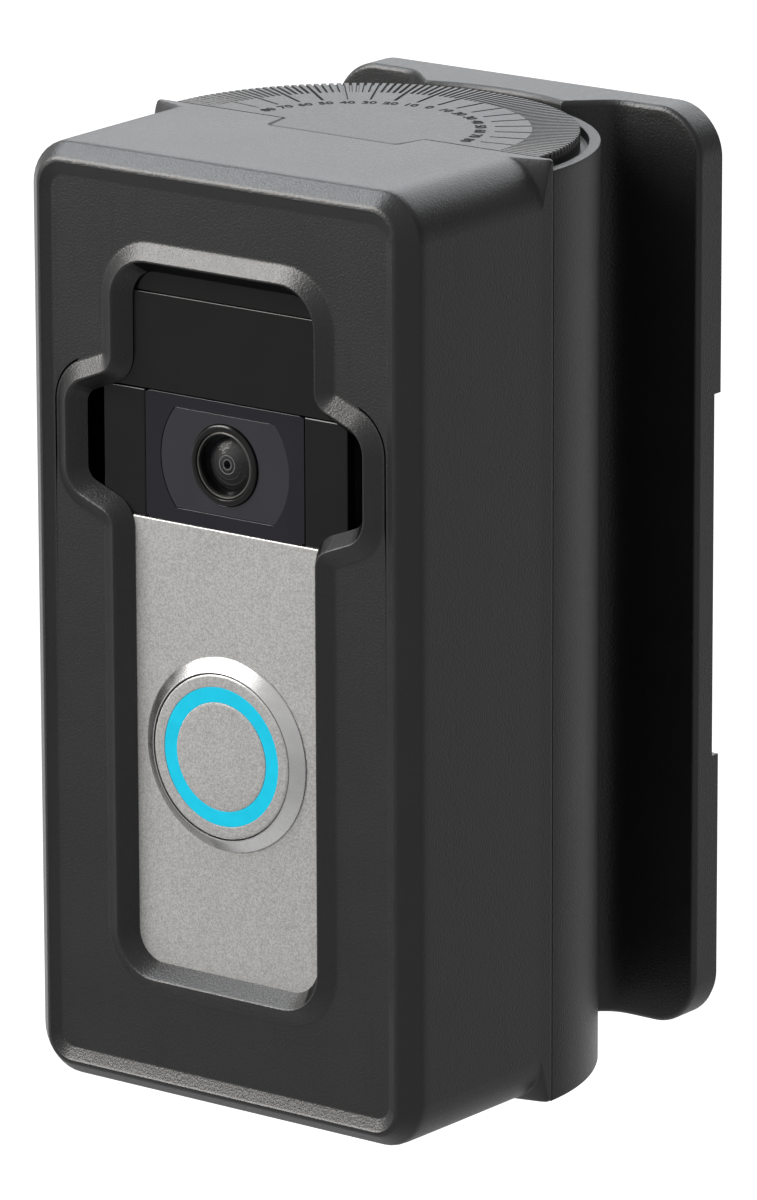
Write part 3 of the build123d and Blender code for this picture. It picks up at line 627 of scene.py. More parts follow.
def case_front_rings():
    """The case front as outlines carried from the opening's back edge out over the collar,
    across the sunk panel, over the lip, back along the sides and forward inside."""
    height, seam_w = 2 * CASE_HALF_H, 2 * CASE_HIGH[0]
    inner_w, inner_h = seam_w - 2 * WALL, height - 2 * WALL
    depths = (PANEL_BACK_Y, PANEL_BACK_Y - 0.15, PANEL_BACK_Y - 1.2, CREST_Y + 0.5, CREST_Y + 0.3)
    opening = [(funnel(y), y) for y in depths]
    opening += [(-0.1, CREST_Y + 0.16), (0.0, CREST_Y + 0.06), (0.1, CREST_Y + 0.01), (0.2, CREST_Y)]
    opening += [(0.32, CREST_Y + 0.05), (0.42, CREST_Y + 0.12), (2.45, PANEL_Y - 0.2)]
    opening += [(2.62, PANEL_Y - 0.1), (2.8, PANEL_Y - 0.03), (3.0, PANEL_Y), (3.3, PANEL_Y)]
    outside = [  # width, height, corner radius, depth
        (64.0, 140.4, 2.2, PANEL_Y), (64.6, 141.0, 2.4, PANEL_Y), (64.95, 141.35, 2.5, PANEL_Y - 0.03),
        (65.2, 141.65, 2.7, PANEL_Y - 0.12), (67.5, 144.7, 4.0, LIP_Y + 0.2),
        (67.75, 144.95, 4.1, LIP_Y + 0.07), (68.0, 145.2, 4.2, LIP_Y), (68.5, 145.7, 4.3, LIP_Y + 0.03),
        (68.98, 146.18, 4.45, LIP_Y + 0.1), (69.41, 146.61, 4.6, LIP_Y + 0.23),
        (69.78, 146.98, 4.8, LIP_Y + 0.4), (74.1, 150.35, 7.1, CHAMFER_Y - 0.7),
        (74.5, 150.72, 7.3, CHAMFER_Y - 0.3), (74.75, 150.93, 7.45, CHAMFER_Y + 0.15),
        (74.86, height, EDGE_R, CHAMFER_Y + 0.7), (74.95, height, EDGE_R, CHAMFER_Y + 1.6),
        (75.6, height, EDGE_R, -68.0), (76.25, height, EDGE_R, -53.0), (76.3, height, EDGE_R, -51.8),
        (76.38, height, 6.9, -51.3), (76.5, height, 1.5, -49.9), (76.56, height, 0.7, -49.5),
        (seam_w, height, 0.6, -49.15), (seam_w - 0.05, height - 0.05, 0.6, SEAM_Y - 0.06),
        (seam_w - 0.25, height - 0.25, 0.5, SEAM_Y), (inner_w, inner_h, 3.0, SEAM_Y),
        (inner_w - 0.2, inner_h - 0.2, 3.0, SEAM_Y - 0.4),
        (70.6, inner_h - 0.3, EDGE_R - WALL, PANEL_BACK_Y + 0.5),
        (70.0, inner_h - 0.9, EDGE_R - WALL - 0.3, PANEL_BACK_Y),
    ]
    rings = [at_depth(opening_loop(grow), y) for grow, y in opening]
    rings += [at_depth(matching_box(w, h, r), y) for w, h, r, y in outside]
    rings.append(at_depth(opening_loop(0.6), PANEL_BACK_Y))
    return rings


def tab_outline(grow, rear):
    """The dial's keyed tab from above, corners rounded, widened by grow."""
    front, half, rear_half = TAB_FRONT - grow, TAB_HALF + grow, TAB_REAR_HALF + grow
    turn = np.linspace(0, np.pi / 2, 7)
    side = half - TAB_ROUND + TAB_ROUND * np.sin(turn)
    right = np.stack([side, front + TAB_ROUND - TAB_ROUND * np.cos(turn)], 1)
    left = np.stack([-right[::-1, 0], right[::-1, 1]], 1)
    return np.concatenate([left, right, [(rear_half, rear), (-rear_half, rear)]])


def tab_stack(levels, rear):
    """The tab's outline stacked upwards through pairs of (grow, height)."""
    return upright_mesh([(tab_outline(grow, rear), z) for grow, z in levels])


def shade_funnel(piece):
    """Paints shade on the opening's wall: the faces between the crest and the panel's back that are
    turned well away from the front take a darker, duller copy of the case plastic, except the
    lower wall, which faces up, and the left wall, which faces right; these keep the case's finish."""
    mesh = piece.data
    mesh.materials.append(finish_named("funnel_black"))
    count = len(mesh.polygons)
    centre, normal = np.empty(count * 3), np.empty(count * 3)
    mesh.polygons.foreach_get("center", centre)
    mesh.polygons.foreach_get("normal", normal)
    centre, normal = centre.reshape(-1, 3) / MM, normal.reshape(-1, 3)
    # painted shade: these faces take the darker copy of the case plastic
    painted_shade = (centre[:, 1] < PANEL_BACK_Y - 0.02) & (centre[:, 1] > CREST_Y + 0.2)
    painted_shade &= (np.abs(normal[:, 1]) < 0.75) & (np.abs(centre[:, 0]) < 32) & (np.abs(centre[:, 2]) < 65)
    painted_shade &= (normal[:, 2] < 0.6) & (normal[:, 0] < 0.3)
    mesh.polygons.foreach_set("material_index", painted_shade.astype(np.int32))
    mesh.update()


class DOORBELL_OT_case_front(bpy.types.Operator):
    """Builds the locking front half of the case"""
    bl_idname = "doorbell.case_front"
    bl_label = "Case front"

    def execute(self, context):
        piece = new_piece("case_front", stack_mesh(case_front_rings(), wrap=True))
        levels = ((0.2, -WALL - 1.0), (0.2, -0.35), (0.48, 0.0), (0.48, 1.0))
        holes = [tab_stack([(grow, CASE_HALF_H + z) for grow, z in levels], AXIS_Y + 1)]
        for x in LOCK_X:
            holes.append(well(LOCK_HOLE_R, x, LOCK_Y))
            holes.append(well(LOCK_WELL_R, x, LOCK_Y, high=LOCK_WELL_DEPTH - CASE_HALF_H))
        holes.append(well(PIVOT_WELL_R, 0.0, AXIS_Y, steps=64))
        carve(piece, *holes)
        hand_over(piece, "case", "case_black", "front_shell")
        # paints shade on the opening's wall
        shade_funnel(piece)
        return {"FINISHED"}


def drum_profile():
    """The drum's section: radius and height, closed, with rounded rims."""
    outer, inner = DRUM_R, DRUM_R - DRUM_WALL
    top, low = DRUM_HIGH[2], DRUM_LOW[2]
    return np.array([
        (inner, top - 0.3), (inner + 0.08, top - 0.1), (inner + 0.28, top), (outer - 0.28, top),
        (outer - 0.08, top - 0.08), (outer, top - 0.3), (outer, top - 1.2),
        (outer, low + 1.2), (outer, low + 0.3), (outer - 0.08, low + 0.1), (outer - 0.3, low),
        (PIVOT_WELL_R, low), (PIVOT_WELL_R, low + 2.1), (2.6, low + 2.1), (2.6, -71.2), (inner, -71.2),
        (inner, 70.3), (2.6, 70.3), (2.6, 72.3), (inner - 0.4, 72.3), (inner - 0.1, 72.4), (inner, 72.7),
    ])


def sweep(profile, angles):
    """A section of (radius, height) carried round the swivel axis; angle nought is the back."""
    turn = np.radians(angles)[:, None]
    x = profile[:, 0] * np.sin(turn)
    y = AXIS_Y + profile[:, 0] * np.cos(turn)
    z = np.broadcast_to(profile[:, 1], x.shape)
    return np.stack([x, y, z], -1)


class DOORBELL_OT_case_drum(bpy.types.Operator):
    """Builds the round rear half of the case with the slot for the neck"""
    bl_idname = "doorbell.case_drum"
    bl_label = "Case drum"

    def execute(self, context):
        piece = new_piece("case_drum", stack_mesh(sweep(drum_profile(), np.linspace(-90, 90, 121))))
        angle = np.radians(np.linspace(-SLOT_HALF_ANGLE, SLOT_HALF_ANGLE, 25))
        outer = np.stack([60 * np.sin(angle), AXIS_Y + 60 * np.cos(angle)], 1)
        inner = np.stack([20 * np.sin(angle[::-1]), AXIS_Y + 20 * np.cos(angle[::-1])], 1)
        slot = prism(np.concatenate([inner, outer]), -SLOT_HALF_H, SLOT_HALF_H)
        carve(piece, slot, *(well(1.6, x, PEG_Y, 60, 80, 32) for x in PEG_X))
        hand_over(piece, "case", "case_black", "rear_shell", finish="drum_black")
        return {"FINISHED"}


# ---- the dial's rows from the middle outwards, over the rim and back below: radius, drop
# below the top, and which grooves have begun (0 none, 1 the long ones, 2 all of them)
DIAL_ROWS = np.array([
    (0.0, 0.0, 0), (9.0, 0.0, 0), (17.5, 0.0, 0), (21.9, 0.0, 0), (22.1, 0.0, 1), (27.6, 0.0, 1),
    (27.8, 0.0, 2), (31.0, 0.0, 2), (34.75, 0.0, 2), (34.95, 0.05, 2), (35.05, 0.13, 2),
    (DIAL_R, 0.3, 2), (DIAL_R, 0.95, 2), (DIAL_R, 1.1, 0), (DIAL_R, 3.0, 0), (DIAL_R - 0.15, 3.1, 0),
    (DIAL_R - 1.7, 3.1, 0), (DIAL_R - 1.7, 1.6, 0), (0.0, 1.6, 0),
])
RIM_DROP = 0.3
LONG_GROOVE_R = 22.0


def dial_grid(depth):
    """The dial's surface as a grid of angle and radius.

    Every two degrees a groove runs out to the rim, and every tenth degree a longer one. The
    four angles round a groove follow its straight sides, so they close up as the radius
    grows, and a fifth lies between it and the next. A row's depth is nought, or the groove's
    depth where the groove has begun. On the rim the groove cuts inwards instead of down.
    """
    marks = np.arange(-88, 89, 2)
    aside = np.array([0.0, 0.0, 0.0, 0.0, 1.0])
    offset, cut = (
        np.concatenate([[0.0, 0.0], np.tile(row, len(marks)), [0.0]])
        for row in ((-0.27, -0.17, 0.17, 0.27, 0.0), (0.0, 1.0, 1.0, 0.0, 0.0)))
    mark = np.concatenate([[-90.0, -89.0], (marks[:, None] + aside).ravel(), [90.0]])
    tenth = np.isclose(np.mod(mark + 90, 10), 0)
    reach, drop, kind = DIAL_ROWS.T
    angle = np.radians(mark)[:, None] + offset[:, None] / np.maximum(reach, LONG_GROOVE_R)
    begun = np.where(kind == 1, tenth[:, None], kind >= 1) * cut[:, None]
    radius = reach - np.where(drop >= RIM_DROP, begun * depth, 0.0)
    height = DIAL_TOP - drop - np.where(drop < RIM_DROP, begun * depth, 0.0)
    x = radius * np.sin(angle)
    y = AXIS_Y + np.maximum(radius * np.cos(angle), DIAL_GAP)
    return np.stack([x, y, np.broadcast_to(height, x.shape)], -1)


def number_mesh(text, angle):
    """The outline letters of one number, laid on the dial and turned to its angle."""
    curve = bpy.data.curves.new("number", "FONT")
    curve.body = text
    curve.size = NUMBER_SIZE
    curve.extrude = 0.04
    curve.offset = 0.05
    curve.align_x = "CENTER"
    curve.align_y = "CENTER"
    holder = bpy.data.objects.new("number", curve)
    mesh = bpy.data.meshes.new_from_object(holder)
    flat = np.empty(len(mesh.vertices) * 3)
    mesh.vertices.foreach_get("co", flat)
    flat = flat.reshape(-1, 3)
    turn = math.radians(angle)
    across, out = flat[:, 0], flat[:, 1] + NUMBER_R
    x = across * math.cos(turn) + out * math.sin(turn)
    y = AXIS_Y - across * math.sin(turn) + out * math.cos(turn)
    faces = [list(face.vertices) for face in mesh.polygons]
    bpy.data.objects.remove(holder)
    bpy.data.curves.remove(curve)
    bpy.data.meshes.remove(mesh)
    return np.stack([x, y, DIAL_TOP + flat[:, 2]], 1), faces


class DOORBELL_OT_angle_dial(bpy.types.Operator):
    """Builds the angle dial with its grooves, its tab and its numbers"""
    bl_idname = "doorbell.angle_dial"
    bl_label = "Angle dial"

    def execute(self, context):
        grooves = dial_grid(context.scene.doorbell_look.groove_depth / MM)
        levels = ((0.0, -1.6), (0.0, -0.25), (-0.06, -0.08), (-0.22, 0.0), (-0.5, 0.0))
        tab = tab_stack([(grow, DIAL_TOP + z) for grow, z in levels], AXIS_Y + DIAL_GAP)
        add_piece("angle_dial", "case", "dial_grey", "dial_cap", stack_mesh(grooves), tab)
        numbers = [number_mesh(str(abs(angle)), angle) for angle in range(-80, 81, 10)]
        add_piece("dial_numbers", "case", "dial_grey", None, *numbers, finish="number_ink")
        return {"FINISHED"}


# ======== bracket

def bracket_depth(x):
    """Depth of the bracket's front at each x: the wings, then the neck's flanks rising from
    them along a soft curve, hollowed where the drum turns. The outer edge is rounded."""
    rise = (NECK_ROOT - np.abs(x)) / NECK_SPREAD
    flank = PLATE_WING_Y - NECK_SOFT * np.logaddexp(0, rise / NECK_SOFT)
    drum = AXIS_Y + np.sqrt(np.maximum((DRUM_R + 0.4) ** 2 - x ** 2, 1.0))
    front = np.where(np.abs(x) < 16, np.maximum(flank, drum), flank)
    over = np.clip(np.abs(x) - (PLATE_HIGH[0] - PLATE_EDGE), 0, PLATE_EDGE)
    return front + PLATE_EDGE - np.sqrt(PLATE_EDGE ** 2 - over ** 2)


def bracket_rings():
    """The bracket as closed upright outlines carried from its left side to its right."""
    half, high = PLATE_HIGH[0], PLATE_HIGH[2]
    outer = half - PLATE_CORNER_R + PLATE_CORNER_R * np.sin(np.linspace(0, np.pi / 2, 28))
    side = np.concatenate([[13.7, 13.9, 14.05, 14.2], np.linspace(14.5, 26.5, 30), outer])
    across = np.concatenate([-side[::-1], np.linspace(-13.4, 13.4, 36), side])
    over = np.clip(np.abs(across) - (half - PLATE_CORNER_R), 0, PLATE_CORNER_R)
    top = (high - PLATE_CORNER_R + np.sqrt(PLATE_CORNER_R ** 2 - over ** 2))[:, None]
    front = bracket_depth(across)[:, None]
    turn = np.linspace(0, np.pi / 2, 6)
    face = 0.5 - 0.5 * np.cos(np.linspace(0.15, np.pi - 0.15, 10))
    span = top - PLATE_EDGE
    round_y = front + PLATE_EDGE * (1 - np.cos(turn))
    round_z = span + PLATE_EDGE * np.sin(turn)
    level = (2 * face - 1) * span
    flat = np.broadcast_to(front, level.shape)
    back = np.zeros_like(top)
    y = np.concatenate([back, back - 0.4, round_y[:, ::-1], flat, round_y, back - 0.4, back], 1)
    z = np.concatenate([0.4 - top, -top, -round_z[:, ::-1], level, round_z, top, top - 0.4], 1)
    x = np.broadcast_to(across[:, None], y.shape)
    return np.stack([x, y, z], -1)


def blade_outline(shrink):
    """The neck's inner blade from above, its front curved to sit on the hub."""
    across = np.linspace(-1, 1, 25) * (BLADE_HALF_W - shrink)
    front = np.stack([across, AXIS_Y + np.sqrt(HUB_R ** 2 - across ** 2)], 1)
    back = np.stack([across[::-1], np.full(25, -9.0)], 1)
    return np.concatenate([front, back])


class DOORBELL_OT_wall_bracket(bpy.types.Operator):
    """Builds the fixed bracket with its neck"""
    bl_idname = "doorbell.wall_bracket"
    bl_label = "Wall bracket"

    def execute(self, context):
        piece = new_piece("wall_bracket", stack_mesh(bracket_rings()), sharp=40.0)
        half = PLATE_HIGH[0]
        cutters = []
        for side in (-1, 1):
            near, far = sorted((side * (half - 4.0), side * (half + 1.0)))
            cutters.append(brick((near, -1.7, -30.5), (far, 1.0, 29.0)))
        for low, high in ((-66.0, -6.0), (6.0, 66.0)):
            cutters.append(brick((-28.0, -1.2, low), (28.0, 1.0, high)))
        carve(piece, *cutters, sharp=40.0)
        hand_over(piece, "bracket", "bracket_black", "wall_plate")
        levels = ((0.6, -68.5), (0.18, -68.32), (0.0, -67.9), (0.0, 67.9), (0.18, 68.32), (0.6, 68.5))
        blade = upright_mesh([(blade_outline(shrink), z) for shrink, z in levels])
        add_piece("neck_blade", "bracket", "bracket_black", None, blade)
        return {"FINISHED"}


class DOORBELL_OT_adhesive_pads(bpy.types.Operator):
    """Builds the two adhesive pads with softly rounded corners"""
    bl_idname = "doorbell.adhesive_pads"
    bl_label = "Adhesive pads"

    def execute(self, context):
        parts = []
        for middle in (-36.0, 36.0):
            outline = partial(rounded_loop, box_corners(55.8, 59.8, 2.5, 0.0, middle), (8, 8, 8, 8))
            steps = [(0.0, -1.15)] + [(-0.25 * a, -0.25 * b) for a, b in smooth_edge()[::-1]]
            parts.append(stack_mesh([at_depth(outline(grow), y) for grow, y in steps]))
        add_piece("sticky_pads", "bracket", "adhesive", "adhesive_pads", *parts)
        return {"FINISHED"}


# ======== doorbell

class DOORBELL_OT_faceplate(bpy.types.Operator):
    """Builds the silver faceplate round the button"""
    bl_idname = "doorbell.faceplate"
    bl_label = "Faceplate"

    def execute(self, context):
        half, low = BELL_HALF_W, BELL_LOW[2]
        corners = [(half, low, 4.0), (half, SPLIT_Z, 0.15), (-half, SPLIT_Z, 0.15), (-half, low, 4.0)]
        outline = partial(rounded_loop, corners, (24, 24, 24, 24))
        ways = outline()
        shape = plate(outline, FACE_Y, FACE_Y + 2.0, 0.25,
                      lambda grow: towards(ways, (0.0, BUTTON_Z), 15.4 + grow))
        add_piece("silver_faceplate", "case", "silver_plate", "faceplate", shape)
        return {"FINISHED"}


def window_loop(grow=0.0):
    """The camera window: a circle cut flat above and below."""
    radius, up, down = 12.45 + grow, 7.9 + grow, 8.0 + grow
    top, bottom = math.asin(up / radius), math.asin(down / radius)
    right = np.linspace(-bottom, top, 33)
    left = np.linspace(np.pi - top, np.pi + bottom, 33)
    arcs = [np.stack([radius * np.cos(a), LENS_Z - 0.05 + radius * np.sin(a)], 1) for a in (right, left)]
    share = np.linspace(0, 1, 18)[1:-1, None]
    upper = arcs[0][-1] + (arcs[1][0] - arcs[0][-1]) * share
    lower = arcs[1][-1] + (arcs[0][0] - arcs[1][-1]) * share
    return np.concatenate([arcs[0], upper, arcs[1], lower])


def frame_round(loop, middle_z, low, high, half_w):
    """Where a ray from the middle through each point of a loop meets a rectangle."""
    arm = loop - (0.0, middle_z)
    reach_x = half_w / np.maximum(np.abs(arm[:, 0]), 1e-6)
    limit = np.where(arm[:, 1] > 0, high - middle_z, middle_z - low)
    reach_z = limit / np.maximum(np.abs(arm[:, 1]), 1e-6)
    return (0.0, middle_z) + arm * np.minimum(reach_x, reach_z)[:, None]


class DOORBELL_OT_camera_section(bpy.types.Operator):
    """Builds the gloss black camera cover, its side trims and its window"""
    bl_idname = "doorbell.camera_section"
    bl_label = "Camera section"

    def execute(self, context):
        low, high = low_corner("camera_cover")[2], high_corner("camera_cover")[2]
        gap = 0.06
        seat, glass = window_loop(gap), window_loop()
        shape = plate(
            lambda grow: frame_round(seat, LENS_Z, low - grow, high + grow, CAMERA_HALF_W + grow),
            FACE_Y, FACE_Y + 2.0, 0.06, lambda grow: window_loop(gap + grow))
        add_piece("camera_cover_face", "case", "gloss_black", "camera_cover", shape, finish="cover_black")
        pane = plate(window_loop, FACE_Y + 0.1, FACE_Y + 1.45, 0.05,
                     lambda grow: towards(glass, (0.0, LENS_Z), 6.5 + grow))
        add_piece("window_glass", "case", "smoked_window", "camera_window", pane)
        trims = []
        for side in (-1, 1):
            near, far = CAMERA_HALF_W + 0.1, BELL_HALF_W
            corners = [(near, low, 0.1), (far, low, 0.2), (far, high, 0.6), (near, high, 0.1)]
            if side < 0:
                corners = [(-x, z, r) for x, z, r in reversed(corners)]
            outline = partial(rounded_loop, corners, (10, 10, 10, 10))
            trims.append(plate(outline, FACE_Y, FACE_Y + 2.0, 0.25))
        add_piece("side_trims", "case", "gloss_black", "camera_side_trims", *trims)
        return {"FINISHED"}


class DOORBELL_OT_top_spacer(bpy.types.Operator):
    """Builds the stepped filler above the doorbell"""
    bl_idname = "doorbell.top_spacer"
    bl_label = "Top spacer"

    def execute(self, context):
        low, high = low_corner("top_spacer"), high_corner("top_spacer")
        half, step_z, edge = high[0], 53.7, 0.16
        lower = soft_brick((-half, low[1], low[2]), (half, high[1], step_z), edge)
        upper = soft_brick((-half, low[1] + 0.4, step_z), (half, high[1], high[2]), edge)
        add_piece("spacer_block", "case", "inner_black", "top_spacer", lower, upper, finish="gloss_black")
        return {"FINISHED"}


def dome(radius, apex, ball, steps=14):
    """Radius and depth along the front of a ball whose foremost point is at depth apex."""
    reach = radius * np.linspace(0, 1, steps)
    return np.stack([reach, apex + (ball - np.sqrt(ball ** 2 - reach ** 2))], 1)


class DOORBELL_OT_lens(bpy.types.Operator):
    """Builds the lens tube, its bright ring, the stop and the glass elements"""
    bl_idname = "doorbell.lens"
    bl_label = "Lens"

    def execute(self, context):
        round_lens = partial(turned, z=LENS_Z)
        tube = [(4.2, -72.4), (4.2, -79.95), (4.84, -80.0), (4.86, -81.2), (5.3, -81.3), (5.32, -81.95),
                (5.42, -82.12), (5.62, -82.2), (6.05, -82.16), (6.3, -82.05), (6.4, -81.85), (6.4, -80.4),
                (5.5, -80.4), (5.5, -72.4)]
        add_piece("lens_tube", "case", "gloss_black", "lens_barrel", round_lens(tube, wrap=True))
        band = [(4.9, -81.3), (4.9, -81.85), (4.98, -81.98), (5.12, -82.0), (5.24, -81.9), (5.26, -81.3)]
        add_piece("lens_bright_ring", "case", "ring_metal", "lens_ring", round_lens(band, wrap=True))
        front = dome(4.8, LENS_APEX, DOME_R)
        back = dome(4.5, LENS_APEX + 0.4, DOME_INNER_R)[::-1]
        glass = round_lens(np.concatenate([front, back]))
        add_piece("lens_front_glass", "case", "optics", "lens_glass", glass)
        cone = [(4.15, -79.98), (3.3, -80.45), (3.25, -80.42), (2.4, -80.85), (2.35, -80.82), (1.6, -81.12),
                (0.95, -81.2), (0.85, -81.12), (0.85, -79.2), (4.15, -79.2)]
        stop = round_lens(cone, wrap=True)
        add_piece("lens_stop", "case", "gloss_black", "iris_plate", stop, finish="inner_black")
        hoops = [round_lens([(r, y), (r, y - 0.1), (r + 0.13, y - 0.1), (r + 0.13, y)], steps=64, wrap=True)
                 for r, y in ((0.72, -81.05), (1.4, -81.08))]
        add_piece("stop_rims", "case", "ring_metal", None, *hoops, finish="steel")
        rise = np.linspace(0, 1, 14)
        bulge = np.stack([0.84 * rise, -80.95 + 0.2 * rise ** 2], 1)
        element = np.concatenate([bulge, [(0.84, -79.1), (3.9, -79.1), (3.9, -78.2), (0.0, -78.2)]])
        add_piece("lens_inner_glass", "case", "optics", "inner_lens", round_lens(element))
        return {"FINISHED"}


class DOORBELL_OT_button(bpy.types.Operator):
    """Builds the bezel, the button and its glowing ring"""
    bl_idname = "doorbell.button"
    bl_label = "Button"

    def execute(self, context):
        round_button = partial(turned, z=BUTTON_Z, steps=192)
        y = BUTTON_Y
        slope = [(13.3, -78.95), (13.3, y + 0.05), (13.32, y + 0.01), (13.36, y), (13.48, y + 0.03),
                 (13.62, y + 0.12), (15.36, FACE_Y - 0.3), (15.52, FACE_Y - 0.16), (15.58, FACE_Y - 0.06),
                 (15.58, FACE_Y - 0.02), (15.3, FACE_Y - 0.02), (15.3, -79.75), (16.6, -79.75),
                 (16.6, -78.95)]
        add_piece("bezel_ring", "case", "bezel_chrome", "button_bezel", round_button(slope, wrap=True))
        cup = [(0.0, y), (8.0, y), (8.56, y), (8.66, y + 0.03), (8.7, y + 0.12), (8.7, y + 1.1),
               (11.13, y + 1.1), (11.13, y + 0.12), (11.17, y + 0.03), (11.27, y), (12.7, y),
               (12.95, y + 0.04), (13.07, y + 0.13), (13.1, y + 0.3), (13.1, -78.7), (14.6, -78.7),
               (14.6, -77.9), (11.8, -77.9), (11.8, y + 2.0), (2.2, y + 2.0), (2.2, -78.3), (0.0, -78.3)]
        add_piece("button_face", "button", "silver_plate", "button_cap", round_button(cup))
        guide = [(8.73, y + 1.0), (8.73, y + 0.12), (8.8, y + 0.05), (9.0, y + 0.03), (10.85, y + 0.03),
                 (11.03, y + 0.05), (11.1, y + 0.12), (11.1, y + 1.0)]
        add_piece("glowing_ring", "button", "ring_light", "light_ring", round_button(guide, wrap=True))
        return {"FINISHED"}


# ======== screws

def upright_screw(x, y, base, way, head_r, head_t, shank_r, length):
    """A pan head with a star recess, then the shank. The head's outer face is at height base,
    and the shank runs up if way is 1, down if it is -1."""
    recess = head_r * 0.42
    rows = np.array([  # radius, height, strength of the recess's lobes
        (0.0, head_t * 0.6, 0.0), (recess * 0.9, head_t * 0.6, 0.16), (recess, head_t * 0.12, 0.16),
        (recess * 1.08, 0.02, 0.14), (recess * 1.5, 0.0, 0.0), (head_r * 0.86, 0.03, 0.0),
        (head_r * 0.96, 0.12, 0.0), (head_r, 0.3, 0.0), (head_r, head_t, 0.0), (shank_r, head_t, 0.0),
        (shank_r, length - 0.4, 0.0), (shank_r * 0.6, length, 0.0), (0.0, length, 0.0),
    ])
    return turned_up(np.stack([rows[:, 0], base + way * rows[:, 1]], 1), x, y, 72, rows[:, 2])


class DOORBELL_OT_screws(bpy.types.Operator):
    """Builds the locking screws and the pivot screws that show from outside"""
    bl_idname = "doorbell.screws"
    bl_label = "Screws"

    def execute(self, context):
        low = low_corner("security_screws")[2]
        locks = [upright_screw(x, LOCK_Y, low, 1, 3.0, 1.15, 1.45, 8.0) for x in LOCK_X]
        add_piece("locking_screws", "case", "steel", "security_screws", *locks)
        under, over = low_corner("pivot_screws")[2], high_corner("pivot_screws")[2]
        pivots = [upright_screw(0.0, AXIS_Y, under, 1, 4.0, 1.8, 2.5, 10.7),
                  upright_screw(0.0, AXIS_Y, over, -1, 4.0, 1.4, 2.5, 9.2)]
        add_piece("pivot_shafts", "case", "steel", "pivot_screws", *pivots)
        return {"FINISHED"}


class DOORBELL_OT_inner_parts(bpy.types.Operator):
    """Gives every CAD node that still shows a finish of its own kind"""
    bl_idname = "doorbell.inner_parts"
    bl_label = "Inner parts"

    def execute(self, context):
        slots = {row["node"]: row["material_slot"] for row in frame["record"]["subparts"]}
        for name, node in frame["nodes"].items():
            node.data.materials.clear()
            node.data.materials.append(finish_named(slots[name]))
        return {"FINISHED"}


# ======== stage, in metres

CAMERA_PLACE = (0.78851, -1.08726, 0.35310)
CAMERA_AZIMUTH = 37.049
CAMERA_ELEVATION = 15.159
CAMERA_ROLL = 0.194
CAMERA_LENS = 257.95
AIM = (0.0, -0.045, 0.0)
FLOOR_Z = -2.0
FLOOR_REACH = (0.0, 2.0, 20.0)
BEHIND_RIGHT = (0.78, 0.62, 0.0)


def soft_light(name, place, size, power, colour):
    """An area light that faces the object and stays out of the camera's sight."""
    data = bpy.data.lights.new(name, "AREA")
    data.shape = "RECTANGLE"
    data.size, data.size_y = size
    data.energy = power
    data.color = colour
    lamp = bpy.data.objects.new(name, data)
    lamp.location = place
    away = np.array(place) - np.array(AIM)
    lamp.rotation_euler = Vector(away).to_track_quat("Z", "Y").to_euler()
    lamp.visible_camera = False
    bpy.context.scene.collection.objects.link(lamp)


def add_camera():
    """The camera looks down its own back axis, worked out from azimuth, elevation and roll."""
    azimuth, elevation, roll = map(math.radians, (CAMERA_AZIMUTH, CAMERA_ELEVATION, CAMERA_ROLL))
    level = math.cos(elevation)
    right = np.array([math.cos(azimuth), math.sin(azimuth), 0.0])
    back = np.array([math.sin(azimuth) * level, -math.cos(azimuth) * level, math.sin(elevation)])
    up = np.cross(back, right)
    rolled_right = math.cos(roll) * right - math.sin(roll) * up
    rolled_up = math.sin(roll) * right + math.cos(roll) * up
    data = bpy.data.cameras.new("camera")
    data.lens = CAMERA_LENS
    data.clip_end = 50.0
    camera = bpy.data.objects.new("camera", data)
    axes = Matrix([rolled_right, rolled_up, back]).transposed().to_4x4()
    axes.translation = CAMERA_PLACE
    camera.matrix_world = axes
    bpy.context.scene.collection.objects.link(camera)
    bpy.context.scene.camera = camera


def add_floor():
    """A wide round floor, pale, that glows where it runs far back."""
    turn = np.linspace(0, 2 * np.pi, 96, endpoint=False)
    reach = np.array(FLOOR_REACH)[:, None] / MM
    x, y = reach * np.cos(turn), reach * np.sin(turn)
    rings = np.stack([x, y, np.full(x.shape, FLOOR_Z / MM)], -1)
    floor = new_piece("floor", stack_mesh(rings, caps=False))
    pale = Finish("pale_floor", Roughness=0.9, Emission_Strength=0.6)
    across, along = (pale.node("ShaderNodeSeparateXYZ", None, {0: pale.place}, out=i) for i in (0, 1))
    share = pale.ramp(along * 0.8 - across * 0.6, 3.0, 4.8)
    white = (1.0, 1.0, 1.0)
    pale.tint(share + pale.noise(900.0, 2.0) * 0.05, white, 0.76, 0.95)
    pale.tint(share, white, 0.0, 1.0, "Emission Color")
    floor.data.materials.append(pale.material)


def add_surround(strength):
    """A white surround, dimmer behind on the right, that the camera sees as plain white."""
    world = bpy.data.worlds.new("studio")
    bpy.context.scene.world = world
    world.use_nodes = True
    sky = Nodes(world.node_tree)
    ground = sky.tree.nodes["Background"]
    way = sky.node("ShaderNodeTexCoord", out="Generated")
    dot = {"operation": "DOT_PRODUCT"}
    facing = sky.node("ShaderNodeVectorMath", dot, {0: way, 1: BEHIND_RIGHT}, "Value")
    dimming = {"Value": facing, "From Min": 0.5, "To Min": 1.0, "To Max": 0.35}
    fade = sky.node("ShaderNodeMapRange", None, dimming)
    seen = sky.node("ShaderNodeLightPath", out="Is Camera Ray")
    sky.tree.links.new(seen.maths("MAXIMUM", seen, fade).socket, ground.inputs["Color"])
    sky.tree.links.new((seen + strength).socket, ground.inputs["Strength"])


